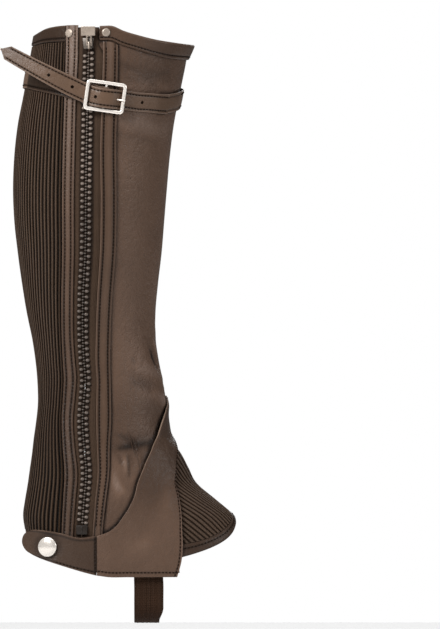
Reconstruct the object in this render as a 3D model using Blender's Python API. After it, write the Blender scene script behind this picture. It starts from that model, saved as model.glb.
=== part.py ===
"""A half chap for the right leg, filled out as worn.

A leather front panel and a ribbed elastic back panel meet at a zip on the outer side. A buckled strap goes
round the calf, an overlay covers the ankle and closes with a press stud, a ribbed gusset lies on the instep
and an elastic strap passes under the boot.

Frame: +X to the toe, -Y to the outer side of the leg, where the zip runs, +Z up. The origin is on the axis
of the leg at the fullest part of the calf. All sizes here are in millimetres and degrees, and become metres
in the meshes.

The leg is a stack of sections, one at each height. A point of the garment is given by its height, by its
angle round the leg (0 at the front, 90 on the outer side, 180 at the back, -90 on the inner side), and by
how far out it stands from that leg surface. Every piece that lies on another is made from the same points,
moved out.
"""

import math

import bmesh
import bpy
import numpy as np
from mathutils import Matrix, Vector

MM = 0.001
SEAM_GAP = 0.3

# Thickness of the materials, and the layers that they make, as distances out from the leg surface.
PANEL_IN, PANEL_OUT = -1.5, 0.0
TAPE_IN, TAPE_OUT = -1.1, -0.1
FACING_IN, FACING_OUT = 0.5, 1.8
BAND_IN, BAND_OUT = -1.2, 1.8
OVERLAY_LEATHER = 1.4
STRAP_LEATHER = 1.2
ELASTIC_WEB = 1.5

# The leg surface: how far the back and the front reach, half its width, where it is widest, how much the front
# half narrows towards its tip (below 0 it is fuller than an ellipse), and how square the back half is (2 is an
# ellipse, and more has flatter sides).
BODY_COLUMNS = "height back front half_width widest front_taper back_square"
BODY = (
    (132.0, -38.5, 78.0, 56.4, 12.0, 0.04, 2.0),
    (96.5, -45.2, 73.2, 57.0, 8.5, 0.06, 2.0),
    (72.0, -49.4, 68.3, 56.5, 6.0, 0.08, 2.0),
    (48.0, -54.0, 63.7, 55.8, 4.5, 0.10, 2.0),
    (23.5, -56.8, 60.6, 55.0, 3.0, 0.12, 2.0),
    (-1.0, -57.8, 58.4, 54.0, 2.0, 0.13, 2.0),
    (-25.0, -56.8, 56.4, 52.0, 1.0, 0.14, 2.0),
    (-49.5, -54.1, 54.4, 49.2, 0.5, 0.14, 2.0),
    (-73.5, -50.8, 51.6, 45.6, -0.5, 0.13, 2.0),
    (-95.0, -47.3, 49.7, 41.8, -1.0, 0.12, 2.0),
    (-116.5, -42.9, 49.9, 38.8, -1.0, 0.10, 2.0),
    (-131.5, -40.7, 52.1, 38.0, -1.0, 0.08, 2.0),
    (-149.5, -39.1, 55.6, 38.0, -0.8, 0.06, 2.0),
    (-165.0, -38.8, 57.6, 38.4, -0.8, 0.04, 2.0),
    (-180.0, -40.3, 57.2, 39.0, -0.6, 0.02, 2.05),
    (-192.0, -42.0, 60.3, 39.6, -0.4, 0.00, 2.1),
    (-201.5, -43.1, 68.0, 40.2, 0.0, -0.03, 2.15),
    (-213.5, -44.8, 74.4, 40.8, 0.8, -0.06, 2.25),
    (-225.5, -46.4, 80.7, 41.3, 1.6, -0.08, 2.35),
    (-238.0, -48.5, 95.2, 41.8, 2.7, -0.10, 2.45),
    (-250.0, -50.0, 108.9, 42.2, 3.8, -0.10, 2.6),
    (-262.0, -48.4, 115.3, 42.4, 5.2, -0.10, 2.7),
    (-280.5, -47.5, 122.0, 42.5, 6.8, -0.10, 2.8),
    (-305.0, -46.4, 131.0, 42.5, 8.0, -0.10, 2.8),
)

# The zip line, and the edges of the strips beside it, measured round the leg from the zip line.
# Towards the front is positive.
ZIP_COLUMNS = "height line back_outer back_inner front_inner front_outer"
ZIP = (
    (132.0, -0.8, -18.5, -8.0, 10.6, 22.0),
    (104.0, -0.8, -18.0, -8.0, 11.0, 22.2),
    (66.0, -1.6, -17.9, -8.8, 10.6, 22.3),
    (28.0, -2.4, -18.1, -8.9, 10.2, 22.4),
    (-10.0, -3.0, -18.1, -9.0, 11.2, 23.4),
    (-48.0, -3.4, -17.6, -8.6, 11.0, 23.2),
    (-86.0, -5.3, -16.4, -7.4, 10.6, 22.2),
    (-116.0, -5.3, -16.2, -7.2, 9.6, 20.9),
    (-133.0, -4.4, -16.3, -6.8, 8.6, 19.8),
    (-146.0, -3.4, -16.6, -6.8, 8.4, 19.0),
    (-160.0, -4.4, -16.4, -6.9, 9.2, 20.3),
    (-175.5, -5.5, -16.2, -7.2, 10.2, 21.6),
    (-197.0, -4.4, -16.3, -7.2, 9.6, 19.4),
    (-218.0, -2.8, -16.4, -6.6, 8.6, 17.4),
    (-238.0, -4.4, -15.8, -6.5, 8.4, 16.6),
    (-261.0, -6.1, -15.2, -6.5, 8.4, 15.8),
    (-305.0, -6.1, -15.2, -6.5, 8.4, 15.8),
)

# The top edge and the lower edge of the band round the top, over the reach forward.
RIM_COLUMNS = "reach top low"
RIM = (
    (-50.0, 112.5, 106.3),
    (-43.0, 115.4, 107.3),
    (-35.0, 120.0, 109.2),
    (-27.0, 121.8, 109.8),
    (-20.0, 122.4, 110.0),
    (8.0, 122.0, 111.0),
    (16.0, 122.0, 110.9),
    (24.0, 118.6, 107.6),
    (36.0, 115.0, 104.0),
    (50.0, 111.7, 100.0),
    (60.0, 110.2, 97.9),
    (72.0, 109.0, 97.2),
    (80.0, 108.8, 97.2),
)
RIM_HEIGHT = 110.0  # where the reach of the rim is read
BAND_FLARE = 3.2  # how far the top edge of the band turns out at the front
BAND_LIP = 2.2  # how far the front band laps down over the edge of the panel

# The ribbed back panel: the reach of the seam on the inner side, where its last rib ends, and the notch that
# its lower edge makes over the heel.
RIB_COUNT = 34
RIB_RISE = 1.2
INNER_SEAM_COLUMNS = "height reach"
INNER_SEAM = (
    (132.0, -30.0),
    (90.0, -35.5),
    (60.0, -38.0),
    (30.0, -39.4),
    (0.0, -38.9),
    (-30.0, -35.4),
    (-60.0, -28.7),
    (-90.0, -20.5),
    (-116.0, -12.5),
    (-140.0, -6.5),
    (-165.0, -3.0),
    (-190.0, -3.5),
    (-210.0, -5.5),
    (-230.0, -7.8),
    (-255.0, -9.5),
    (-305.0, -9.8),
)
HEEL_COLUMNS = "reach height"
HEEL = (
    (-53.0, -251.5),
    (-50.0, -254.0),
    (-48.5, -259.0),
    (-46.0, -264.5),
    (-42.0, -270.0),
    (-36.0, -275.0),
    (-29.0, -279.5),
    (-20.0, -283.5),
    (-10.0, -286.0),
    (0.0, -287.5),
    (20.0, -288.0),
)
HEEL_LEVEL = -265.0  # where the reach of the notch is read

# The hem, and the seam between the front panel and the gusset, from the middle of the instep to the hem.
# Angles are for the outer side, and the inner side mirrors them.
PANEL_HEM = -295.2
INNER_CORNER_RISE = 3.2
OVERLAY_HEM = -296.4
SEAM_COLUMNS = "height angle"
SEAM = (
    (-195.5, 0.0),
    (-199.0, 13.0),
    (-206.0, 25.0),
    (-222.0, 36.5),
    (-236.0, 45.5),
    (-250.0, 52.5),
    (-262.0, 55.0),
    (-273.0, 56.5),
    (-282.0, 58.0),
    (-296.4, 61.0),
)
SEAM_CORNER = 58.5  # the angle at which the seam ends and the hem begins on the panel

# The gusset: the line where its ribs end, and its free lower edge.
GUSSET_RIBS = 20  # on each side of the middle
GUSSET_IN, GUSSET_OUT, GUSSET_RIB_RISE = -1.3, -0.4, 0.9
GUSSET_COLUMNS = "angle ribs_end lower"
GUSSET = (
    (0.0, -246.4, -251.8),
    (5.0, -247.4, -252.8),
    (10.0, -250.0, -255.8),
    (20.0, -255.6, -262.3),
    (32.0, -262.3, -269.5),
    (42.0, -267.0, -274.7),
    (50.0, -270.0, -278.4),
    (57.0, -271.6, -281.4),
)

# The overlay in the side view: its free edge from the closing tab up to its tip on the front of the ankle.
OVERLAY_FREE = (
    (5.4, -265.0),
    (12.9, -262.6),
    (19.5, -258.0),
    (25.0, -250.8),
    (29.9, -243.2),
    (34.0, -233.7),
    (38.0, -219.6),
    (42.6, -208.0),
    (46.4, -199.1),
    (49.4, -191.0),
    (52.0, -181.0),
)
OVERLAY_TIP = ((14.0, -171.0), (4.0, -163.0), (-8.0, -158.8))  # angle, height
OVERLAY_SEWN = ((-13.0, -168.0), (-14.0, -180.0), (-8.0, -190.0))  # angle, height, inside the front
OVERLAY_HEM_LINE = ((5.4, -295.2), (12.9, -296.2), (30.0, -296.4), (66.0, -296.4))

# The closing tab in the side view, from its joint with the overlay back to its rounded end, and how far out
# to the side its inner face lies.
TAB_UPPER = ((5.1, -265.0), (-8.0, -266.4), (-22.0, -263.0), (-33.0, -261.2), (-41.0, -260.4), (-44.0, -260.6))
TAB_LOWER = ((5.1, -295.2), (-2.0, -293.4), (-22.0, -287.4), (-31.0, -284.5), (-38.0, -281.9), (-42.5, -279.8))
TAB_END = ((-42.5, -279.8), (-48.6, -275.6), (-51.2, -269.4), (-49.2, -263.4), (-44.0, -260.6))
TAB_DEPTH_COLUMNS = "reach side"
TAB_DEPTH = (
    (-52.0, -29.6),
    (-46.0, -32.9),
    (-40.0, -35.9),
    (-31.5, -39.5),
    (-25.0, -41.8),
    (-15.0, -44.2),
    (-5.0, -45.1),
    (6.0, -45.0),
)

# Hardware.
CHAIN_HALF, CHAIN_IN, CHAIN_OUT = 4.2, -1.5, 1.6
CHAIN_TOP, CHAIN_END = 104.0, -256.3
BOX_HALF, BOX_IN, BOX_OUT = 4.5, -1.6, 2.3
BOX_TOP, BOX_END = -256.8, -264.2
TAPE_TOP, TAPE_END = 121.0, -274.0
SLIDER_HEIGHT = 108.6
SLIDER_LENGTH, SLIDER_WIDTH, SLIDER_NECK = 8.4, 9.0, 7.4
SLIDER_IN, SLIDER_OUT = -1.6, 3.0
BAIL_WIDTH, BAIL_WIRE, BAIL_SPAN, BAIL_RISE = 1.3, 1.0, 5.4, 3.2
BAIL_SIDE = 1.3  # the bail and the pull's hinge lie this far to the front of the slider's middle
PULL_PIVOT_OUT = 4.3  # the pull's hinge, out from the leg surface
PULL_PIVOT_DROP = 1.6  # and below the middle of the slider
PULL_WIRE, PULL_LOOP_WIDTH, PULL_LOOP_LENGTH = 1.1, 4.4, 8.0
PULL_PLATE_WIDTH, PULL_PLATE_LENGTH, PULL_PLATE_THICK = 10.9, 7.0, 1.4
PULL_PLATE_SIDE = -0.6  # the plate's middle, from the loop's
PULL_LEAN = 6.5  # the pull leans this far towards the leg
SNAP_REACH, SNAP_HEIGHT, SNAP_RADIUS, SNAP_RISE = -31.5, -273.4, 7.5, 2.2
RIVET_RADIUS, RIVET_RISE = 3.2, 1.3
RIVETS = (("rivet_back", -14.7, 116.4), ("rivet_front", 12.4, 117.0))

# The strap round the calf. The band starts under the holed strap, goes round the front, the inner side and
# the back, and ends round the middle bar of the buckle.
STRAP_WIDTH = 14.8
STRAP_HOLE = 2.4
BAND_PATH_COLUMNS = "turn height out"
BAND_PATH = (
    (-40.0, 63.2, 0.5),
    (-33.0, 63.4, 0.6),
    (-14.0, 65.6, 1.2),
    (0.0, 67.6, 1.6),
    (30.0, 70.0, 1.6),
    (60.0, 72.2, 1.4),
    (90.0, 74.2, 1.4),
    (120.0, 76.4, 1.6),
    (150.0, 80.2, 1.8),
    (180.0, 82.3, 1.8),
    (200.0, 82.0, 1.8),
    (215.0, 80.4, 1.8),
    (235.0, 77.4, 1.9),
    (248.0, 74.6, 2.2),
    (260.0, 72.0, 2.2),
    (268.0, 70.2, 2.2),
)
BUCKLE_REACH, BUCKLE_HEIGHT, BUCKLE_TILT = 11.2, 68.4, 8.2
BUCKLE_LENGTH, BUCKLE_WIDTH, BUCKLE_BAR, BUCKLE_THICK = 31.0, 23.6, 3.0, 2.2
BUCKLE_CORNER, BUCKLE_INNER_CORNER = 2.4, 0.7
BUCKLE_OUT = 3.8  # its lower face, out from the leg surface at its middle
BUCKLE_MIDDLE_BAR, BUCKLE_MIDDLE_OUT = 0.8, 4.4  # radius, and height of its centre
# The holed strap: on the leg as reach, height and distance out, then in the plane of the buckle (along and
# across), then free behind the buckle as reach, side and height.
TAIL_ON_LEG = ((57.3, 63.3, 2.2), (50.0, 63.6, 2.2), (44.0, 64.0, 1.5), (36.0, 64.4, 1.4))
TAIL_IN_BUCKLE = ((18.0, -0.6), (12.0, -0.8), (5.0, -1.0), (-2.0, -1.2), (-9.0, -0.9), (-16.0, 0.9))
TAIL_FREE = ((-12.7, -60.2, 75.4), (-30.6, -59.0, 84.4), (-48.0, -54.5, 93.7), (-67.6, -46.6, 104.7))
TAIL_TIP = 6.6
TAIL_NARROWING = 4.0  # the free end is this much narrower than the strap
# How far the holed strap's middle stands out in the buckle: under the far bar, over the turn of the band on
# the middle bar, and under the near bar.
TAIL_RISE_COLUMNS = "along out"
TAIL_RISE = (
    (-22.0, 2.2),
    (-18.0, 2.35),
    (-15.5, 2.65),
    (-14.0, 2.75),
    (-12.5, 2.85),
    (-11.4, 3.3),
    (-9.5, 4.5),
    (-7.0, 6.1),
    (-4.0, 7.2),
    (-1.5, 7.5),
    (1.5, 7.5),
    (4.5, 7.1),
    (7.5, 5.9),
    (9.5, 4.5),
    (11.0, 3.3),
    (12.4, 2.6),
    (14.0, 2.1),
    (15.5, 1.6),
    (18.5, 0.1),
    (22.0, -1.9),
)
HOLE_SPACING = 20.0
PRONG_HOLE = 11.4  # where the spacing of the holes starts, along the buckle
PRONG_ACROSS = -0.9
PRONG_WIRE = 1.2

# The strap under the boot.
UNDER_BACK, UNDER_FRONT = 33.6, 55.6
UNDER_LOW = -330.4
UNDER_TURN = 16.0
UNDER_LAP = 14.0
UNDER_NARROWING = 3.0  # the front edge draws in by this much under the boot

# Soft creases of the leather: ends in the side view, side (1 outer, -1 inner), half width and rise.
CREASE_COLUMNS = "reach_a height_a reach_b height_b side half_width rise"
CREASES = (
    (33.4, -145.0, 53.0, -156.0, 1, 4.5, -1.0),
    (38.0, -135.0, 54.5, -146.0, 1, 4.5, 0.9),
    (44.5, -118.0, 51.5, -136.0, 1, 5.0, -0.9),
    (21.0, -198.5, 46.0, -193.5, 1, 6.0, -1.3),
    (28.0, -206.0, 31.0, -219.0, 1, 6.5, 1.2),
    (24.0, 52.5, 56.0, 45.0, 1, 8.0, 1.1),
    (23.0, 90.0, 57.0, 84.0, 1, 6.0, -0.8),
    (30.0, -142.0, 52.0, -152.0, -1, 5.0, -1.2),
    (36.0, -128.0, 51.5, -140.0, -1, 5.0, 0.9),
    (12.0, -196.0, 44.0, -188.0, -1, 7.0, -1.3),
    (20.0, 50.0, 52.0, 46.0, -1, 8.0, 1.0),
)

COLOURS = {
    "leather": ((0.110, 0.075, 0.055), 0.48, 0.0),
    "leather_trim": ((0.095, 0.063, 0.045), 0.5, 0.0),
    "elastic": ((0.050, 0.032, 0.021), 0.75, 0.0),
    "webbing": ((0.033, 0.020, 0.013), 0.8, 0.0),
    "zip_tape": ((0.080, 0.050, 0.038), 0.8, 0.0),
    "zip_plastic": ((0.022, 0.014, 0.010), 0.35, 0.0),
    "bronze": ((0.32, 0.24, 0.19), 0.4, 0.9),
    "nickel": ((0.75, 0.72, 0.68), 0.22, 1.0),
}


def smooth(places, values, at):
    """A curve through the values, with the slope at each of the parabola through it and its neighbours."""
    steps = np.diff(places)
    rises = np.diff(values) / steps
    slopes = np.concatenate([rises[:1], rises, rises[-1:]])[: len(values)]
    slopes[1:-1] = (rises[:-1] * steps[1:] + rises[1:] * steps[:-1]) / (steps[1:] + steps[:-1])
    slopes[-1] = rises[-1]
    at = np.clip(at, places[0], places[-1])
    i = np.clip(np.searchsorted(places, at) - 1, 0, len(steps) - 1)
    t = (at - places[i]) / steps[i]
    bend_a = slopes[i] * steps[i] - (values[i + 1] - values[i])
    bend_b = (values[i + 1] - values[i]) - slopes[i + 1] * steps[i]
    straight = values[i] * (1 - t) + values[i + 1] * t
    return straight + t * (1 - t) * (bend_a * (1 - t) + bend_b * t)


class Rows:
    """A short table with named columns, read as smooth curves over its first column."""

    def __init__(self, columns, rows):
        table = np.array(sorted(rows), float)
        self.columns = dict(zip(columns.split(), table.T))
        self.places = table[:, 0]

    def __call__(self, column, at):
        return smooth(self.places, self.columns[column], np.asarray(at, float))


def curve_through(points, count):
    """Points evenly spaced by number along a smooth curve through the given ones."""
    points = np.array(points, float)
    steps = np.linalg.norm(np.diff(points, axis=0), axis=1)
    places = np.concatenate([[0.0], np.cumsum(steps)]) / steps.sum()
    at = np.linspace(0.0, 1.0, count)
    return np.stack([smooth(places, column, at) for column in points.T], axis=1)


body = Rows(BODY_COLUMNS, BODY)
zip_rows = Rows(ZIP_COLUMNS, ZIP)
rim = Rows(RIM_COLUMNS, RIM)
inner_seam_row = Rows(INNER_SEAM_COLUMNS, INNER_SEAM)
heel = Rows(HEEL_COLUMNS, HEEL)
seam = Rows(SEAM_COLUMNS, SEAM)
gusset_edges = Rows(GUSSET_COLUMNS, GUSSET)
tab_depth = Rows(TAB_DEPTH_COLUMNS, TAB_DEPTH)
tail_rise = Rows(TAIL_RISE_COLUMNS, TAIL_RISE)


# The leg surface ---------------------------------------------------------------------------------------------


def leg_point(angle, height):
    """The point of the plain leg surface at an angle round the leg and a height."""
    angle, height = np.broadcast_arrays(np.asarray(angle, float), np.asarray(height, float))
    forward, side = np.cos(np.radians(angle)), np.sin(np.radians(angle))
    square = np.where(forward > 0, 1.0, 2.0 / body("back_square", height))
    forward = np.sign(forward) * np.abs(forward) ** square
    side = np.sign(side) * np.abs(side) ** square
    widest = body("widest", height)
    reach = np.where(forward > 0, body("front", height) - widest, widest - body("back", height))
    narrowing = np.where(forward > 0, body("front_taper", height), 0.0) * forward**2
    across = -body("half_width", height) * side * (1 - narrowing)
    return np.stack([widest + reach * forward, across, height], -1)


def leg_normal(angle, height):
    """The outward direction of the plain leg surface."""
    angle, height = np.asarray(angle, float), np.asarray(height, float)
    across = leg_point(angle + 0.5, height) - leg_point(angle - 0.5, height)
    upward = leg_point(angle, height + 0.5) - leg_point(angle, height - 0.5)
    normal = np.cross(upward, across)
    return normal / np.linalg.norm(normal, axis=-1, keepdims=True)


def angle_at(reach, height, side=1):
    """The angle where the leg surface has this reach forward, on the outer side (1) or the inner one (-1)."""
    widest = body("widest", height)
    ahead = np.asarray(reach, float) - widest
    length = np.where(ahead > 0, body("front", height) - widest, widest - body("back", height))
    share = np.clip(ahead / length, -1.0, 1.0)
    square = np.where(share > 0, 1.0, body("back_square", height) / 2.0)
    return side * np.degrees(np.arccos(np.sign(share) * np.abs(share) ** square))


def crease_rise(points):
    """How far the creases lift or sink the leather at points of the leg surface."""
    total = np.zeros(points.shape[:-1])
    for reach_a, height_a, reach_b, height_b, side, half_width, rise in CREASES:
        start = leg_point(angle_at(reach_a, height_a, side), height_a)
        along = leg_point(angle_at(reach_b, height_b, side), height_b) - start
        share = np.clip(((points - start) @ along) / (along @ along), 0.0, 1.0)
        away = np.linalg.norm(points - start - share[..., None] * along, axis=-1)
        fade = 0.35 + 0.65 * np.sin(math.pi * np.clip(share, 0.08, 0.92))
        total += rise * fade * np.exp(-((away / half_width) ** 2))
    return total


def garment_point(angle, height, out):
    """The point of a layer that stands this far out from the leg, creases included."""
    points = leg_point(angle, height)
    out = np.broadcast_to(np.asarray(out, float), points.shape[:-1]) + crease_rise(points)
    return points + leg_normal(angle, height) * out[..., None]


def girth_of(height):
    """How far round the leg from the zip line each angle lies at a height. Towards the front is positive."""
    start = float(angle_at(zip_rows("line", height), height))
    angles = start + np.linspace(-120.0, 260.0, 1141)
    steps = np.linalg.norm(np.diff(leg_point(angles, height), axis=0), axis=1)
    length = np.concatenate([[0.0], np.cumsum(steps)])
    return np.interp(start, angles, length) - length, angles


GIRTH_HEIGHTS = np.linspace(-304.0, 131.0, 88)
GIRTHS = [girth_of(height) for height in GIRTH_HEIGHTS]


def edge_line(distance_of):
    """A line down the leg: the angle at each height, for an edge given by its distance from the zip line."""
    distances = np.broadcast_to(distance_of(GIRTH_HEIGHTS), GIRTH_HEIGHTS.shape)
    line = [np.interp(-far, -girth, angles) for far, (girth, angles) in zip(distances, GIRTHS)]
    return lambda at: np.interp(at, GIRTH_HEIGHTS, line)


def rim_line(column):
    """The height of the top band's edge at each angle."""
    return lambda angle: rim(column, leg_point(angle, RIM_HEIGHT)[..., 0])


def level(height):
    return lambda angle: np.full(np.shape(angle), float(height))


# The edges of the panels, as angles over the height.
facing_back_outer = edge_line(lambda z: zip_rows("back_outer", z))
facing_back_inner = edge_line(lambda z: zip_rows("back_inner", z))
facing_front_inner = edge_line(lambda z: zip_rows("front_inner", z))
facing_front_outer = edge_line(lambda z: zip_rows("front_outer", z))
tape_back_edge = edge_line(lambda z: zip_rows("back_inner", z) - 2.4)
tape_front_edge = edge_line(lambda z: zip_rows("front_inner", z) + np.interp(z, (100.0, 107.0), (2.4, -2.7)))
panel_back_edge = edge_line(lambda z: zip_rows("back_inner", z) - 3.1)
panel_front_edge = edge_line(lambda z: zip_rows("front_inner", z) + 3.1)
seam_angle = 360.0 - angle_at(inner_seam_row("reach", GIRTH_HEIGHTS), GIRTH_HEIGHTS)
SEAM_DISTANCE = np.array([np.interp(at, angles, girth) for at, (girth, angles) in zip(seam_angle, GIRTHS)])


def rib_line(ribs, clear=0.3):
    """The line down the leg that lies this many ribs behind the zip facing."""
    first = zip_rows("back_outer", GIRTH_HEIGHTS) - clear
    return edge_line(lambda z: first + (SEAM_DISTANCE + 0.35 - first) * ribs / RIB_COUNT)


ribs_end = rib_line(RIB_COUNT)
inner_seam_back = edge_line(lambda z: SEAM_DISTANCE - 0.35)


def inner_seam(height):
    """The line where the front panel meets the back one on the inner side, as an angle round the front."""
    return inner_seam_back(height) - 360.0


# Grids and walls ---------------------------------------------------------------------------------------------


def panel_grid(left, right, bottom, top, across, upward):
    """Angles and heights of a panel between two lines down the leg and two edges round it."""
    across, upward = np.meshgrid(across, upward)
    height = np.full(across.shape, -100.0)
    for _ in range(30):
        angle = left(height) * (1 - across) + right(height) * across
        height = bottom(angle) * (1 - upward) + top(angle) * upward
    return angle, height


def lines_grid(lines, bottom, top, upward):
    """Angles and heights of a panel whose columns follow the given lines down the leg."""
    upward = np.asarray(upward)
    columns = []
    for line in lines:
        height = np.full(upward.shape, -100.0)
        for _ in range(30):
            angle = line(height)
            height = bottom(angle) * (1 - upward) + top(angle) * upward
        columns.append((angle, height))
    grid = np.array(columns)
    return grid[:, 0].T, grid[:, 1].T


def four_sided(left, right, bottom, top, across, upward):
    """Angles and heights inside four edges of (angle, height) points that meet at the corners."""
    u, v = np.meshgrid(across, upward)
    u, v = u[..., None], v[..., None]
    sides = left[:, None] * (1 - u) + right[:, None] * u
    ends = bottom[None] * (1 - v) + top[None] * v
    corners = (bottom[0] * (1 - u) + bottom[-1] * u) * (1 - v) + (top[0] * (1 - u) + top[-1] * u) * v
    grid = sides + ends - corners
    return grid[..., 0], grid[..., 1]


def evened(grid, rounds=400):
    """A grid with the same four edges, whose lines keep apart inside them however much the edges bend."""
    grid = np.stack(grid)
    for _ in range(rounds):
        up, down = grid[:, 2:, 1:-1], grid[:, :-2, 1:-1]
        right, left = grid[:, 1:-1, 2:], grid[:, 1:-1, :-2]
        along, rise = (right - left) / 2, (up - down) / 2
        twist = (grid[:, 2:, 2:] - grid[:, 2:, :-2] - grid[:, :-2, 2:] + grid[:, :-2, :-2]) / 4
        steep, lean, wide = (rise**2).sum(0), (along * rise).sum(0), (along**2).sum(0)
        balance = steep * (left + right) + wide * (up + down) - 2 * lean * twist
        grid[:, 1:-1, 1:-1] = balance / (2 * (steep + wide))
    return grid[0], grid[1]


def strip_faces(first, second):
    """Triangles and squares between two rows of point numbers that may differ in count."""
    if len(first) == len(second):
        return [(a, b, d, c) for a, b, c, d in zip(first, first[1:], second, second[1:])]
    faces = []
    i = j = 0
    while i < len(first) - 1 or j < len(second) - 1:
        first_next = (i + 1) / (len(first) - 1)
        second_next = (j + 1) / (len(second) - 1)
        if j == len(second) - 1 or (i < len(first) - 1 and first_next <= second_next):
            faces.append((first[i], first[i + 1], second[j]))
            i += 1
        else:
            faces.append((first[i], second[j + 1], second[j]))
            j += 1
    return faces


def add_object(name, points, faces, finish, smooth_angle=40.0):
    """A closed mesh object from points in millimetres, with its faces turned outwards."""
    mesh = bpy.data.meshes.new(name)
    mesh.from_pydata([tuple(point) for point in np.asarray(points) * MM], [], faces)
    shape = bmesh.new()
    shape.from_mesh(mesh)
    bmesh.ops.recalc_face_normals(shape, faces=shape.faces[:])
    if shape.calc_volume(signed=True) < 0:
        bmesh.ops.reverse_faces(shape, faces=shape.faces[:])
    shape.to_mesh(mesh)
    shape.free()
    mesh.materials.append(material(finish))
    mesh.shade_smooth()
    mesh.set_sharp_from_angle(angle=math.radians(smooth_angle))
    obj = bpy.data.objects.new(name, mesh)
    bpy.context.scene.collection.objects.link(obj)
    return obj


def wall(name, outer, inner, finish):
    """A closed wall between an outer grid of points and an inner one, which may be coarser."""
    outer, inner = np.asarray(outer), np.asarray(inner)
    points = np.concatenate([outer.reshape(-1, 3), inner.reshape(-1, 3)])
    front = np.arange(outer.shape[0] * outer.shape[1]).reshape(outer.shape[:2])
    back = front.size + np.arange(inner.shape[0] * inner.shape[1]).reshape(inner.shape[:2])
    faces = []
    for grid in (front, back[:, ::-1]):
        for low, high in zip(grid.tolist(), grid.tolist()[1:]):
            faces += strip_faces(low, high)
    edges = ((front[0], back[0]), (front[-1], back[-1]), (front[:, 0], back[:, 0]), (front[:, -1], back[:, -1]))
    for a, b in edges:
        faces += strip_faces(a.tolist(), b.tolist())
    return add_object(name, points, faces, finish)


def layer(grid, out):
    angle, height = grid
    return garment_point(angle, height, out)


def material(name):
    """The Principled material of this name, made on first use."""
    found = bpy.data.materials.get(name)
    if found:
        return found
    colour, roughness, metallic = COLOURS[name]
    made = bpy.data.materials.new(name)
    made.use_nodes = True
    shader = made.node_tree.nodes["Principled BSDF"]
    shader.inputs["Base Color"].default_value = (*colour, 1.0)
    shader.inputs["Roughness"].default_value = roughness
    shader.inputs["Metallic"].default_value = metallic
    made.diffuse_color = (*colour, 1.0)
    return made


# Panels ------------------------------------------------------------------------------------------------------


def seam_height(angle):
    """The lower edge of the front panel: the gusset seam round the instep, then the hem."""
    angle = np.abs(np.asarray(angle, float))
    angles, heights = seam.columns["angle"], seam.places
    order = np.argsort(angles)
    over_instep = np.interp(angle, angles[order], heights[order])
    return np.where(angle < SEAM_CORNER, np.maximum(over_instep, PANEL_HEM), PANEL_HEM)


def panel_bottom(angle):
    """The same edge, a millimetre clear of the gusset. On the inner side it rises a little
    towards the back, as the tab does on the outer one."""
    clear = 1.0 * np.tanh(np.asarray(angle, float) / 6.0)
    edge = np.maximum(seam_height(angle - clear) + 0.8, PANEL_HEM)
    reach = leg_point(angle, PANEL_HEM)[..., 0]
    return edge + INNER_CORNER_RISE * np.interp(-reach, (-4.0, 10.0), (0.0, 1.0)) * (np.asarray(angle) < 0)


def front_panel():
    """The leather panel, from the zip round the front and the inner side to the back panel."""
    corner = (-SEAM_CORNER - 1.0, SEAM_CORNER + 1.0)
    upward = np.concatenate([np.linspace(0, 0.17, 6), np.linspace(0.2, 0.46, 11), np.linspace(0.51, 1, 9)])
    left, right = float(panel_front_edge(PANEL_HEM)), float(inner_seam(PANEL_HEM))
    span = left - right
    across = np.unique(
        np.concatenate(
            [
                np.linspace(0, (left - corner[1]) / span, 5),
                np.linspace((left - corner[1]) / span, (left - corner[0]) / span, 21),
                np.linspace((left - corner[0]) / span, 1, 9),
            ]
        ).round(6)
    )
    top = rim_line("low")
    edges = (panel_front_edge, inner_seam, panel_bottom, lambda angle: top(angle) + BAND_LIP - 2 * SEAM_GAP)
    outer = panel_grid(*edges, across, upward)
    inner = panel_grid(*edges, across[::2], upward)
    return wall("front_panel", layer(outer, PANEL_OUT), layer(inner, PANEL_IN), "leather")


def heel_edge(angle):
    """The height of the back panel's lower edge at each angle."""
    return heel("height", leg_point(angle, HEEL_LEVEL)[..., 0])


def rib_profile(share):
    """The height of a rounded rib over its pitch, from 0 in the groove to 1 on its crest."""
    return np.abs(np.sin(math.pi * share)) ** 0.6


def back_elastic_panel():
    """The ribbed elastic panel round the back: flat under the zip facing, then ribs to the inner seam."""
    upward = np.linspace(0, 1, 17)
    top = rim_line("low")
    samples = 3 * RIB_COUNT
    lines = [panel_back_edge] + [rib_line(sample / 3.0) for sample in range(samples + 1)]
    grid = lines_grid(lines, heel_edge, lambda angle: top(angle) - 0.4, upward)
    rise = np.concatenate([[0.0], RIB_RISE * rib_profile(np.arange(samples + 1) / 3.0)])
    inside = np.concatenate([[0, 1], np.arange(4, samples + 2, 3)])
    plain = tuple(part[:, inside] for part in grid)
    return wall("back_elastic_panel", layer(grid, rise[None]), layer(plain, PANEL_IN), "elastic")


def long_strip(name, left, right, bottom, top, inner_out, outer_out, finish, rows=27, columns=2):
    """A narrow strip down the leg between two lines."""
    grid = panel_grid(left, right, bottom, top, np.linspace(0, 1, columns), np.linspace(0, 1, rows))
    return wall(name, layer(grid, outer_out), layer(grid, inner_out), finish)


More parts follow.
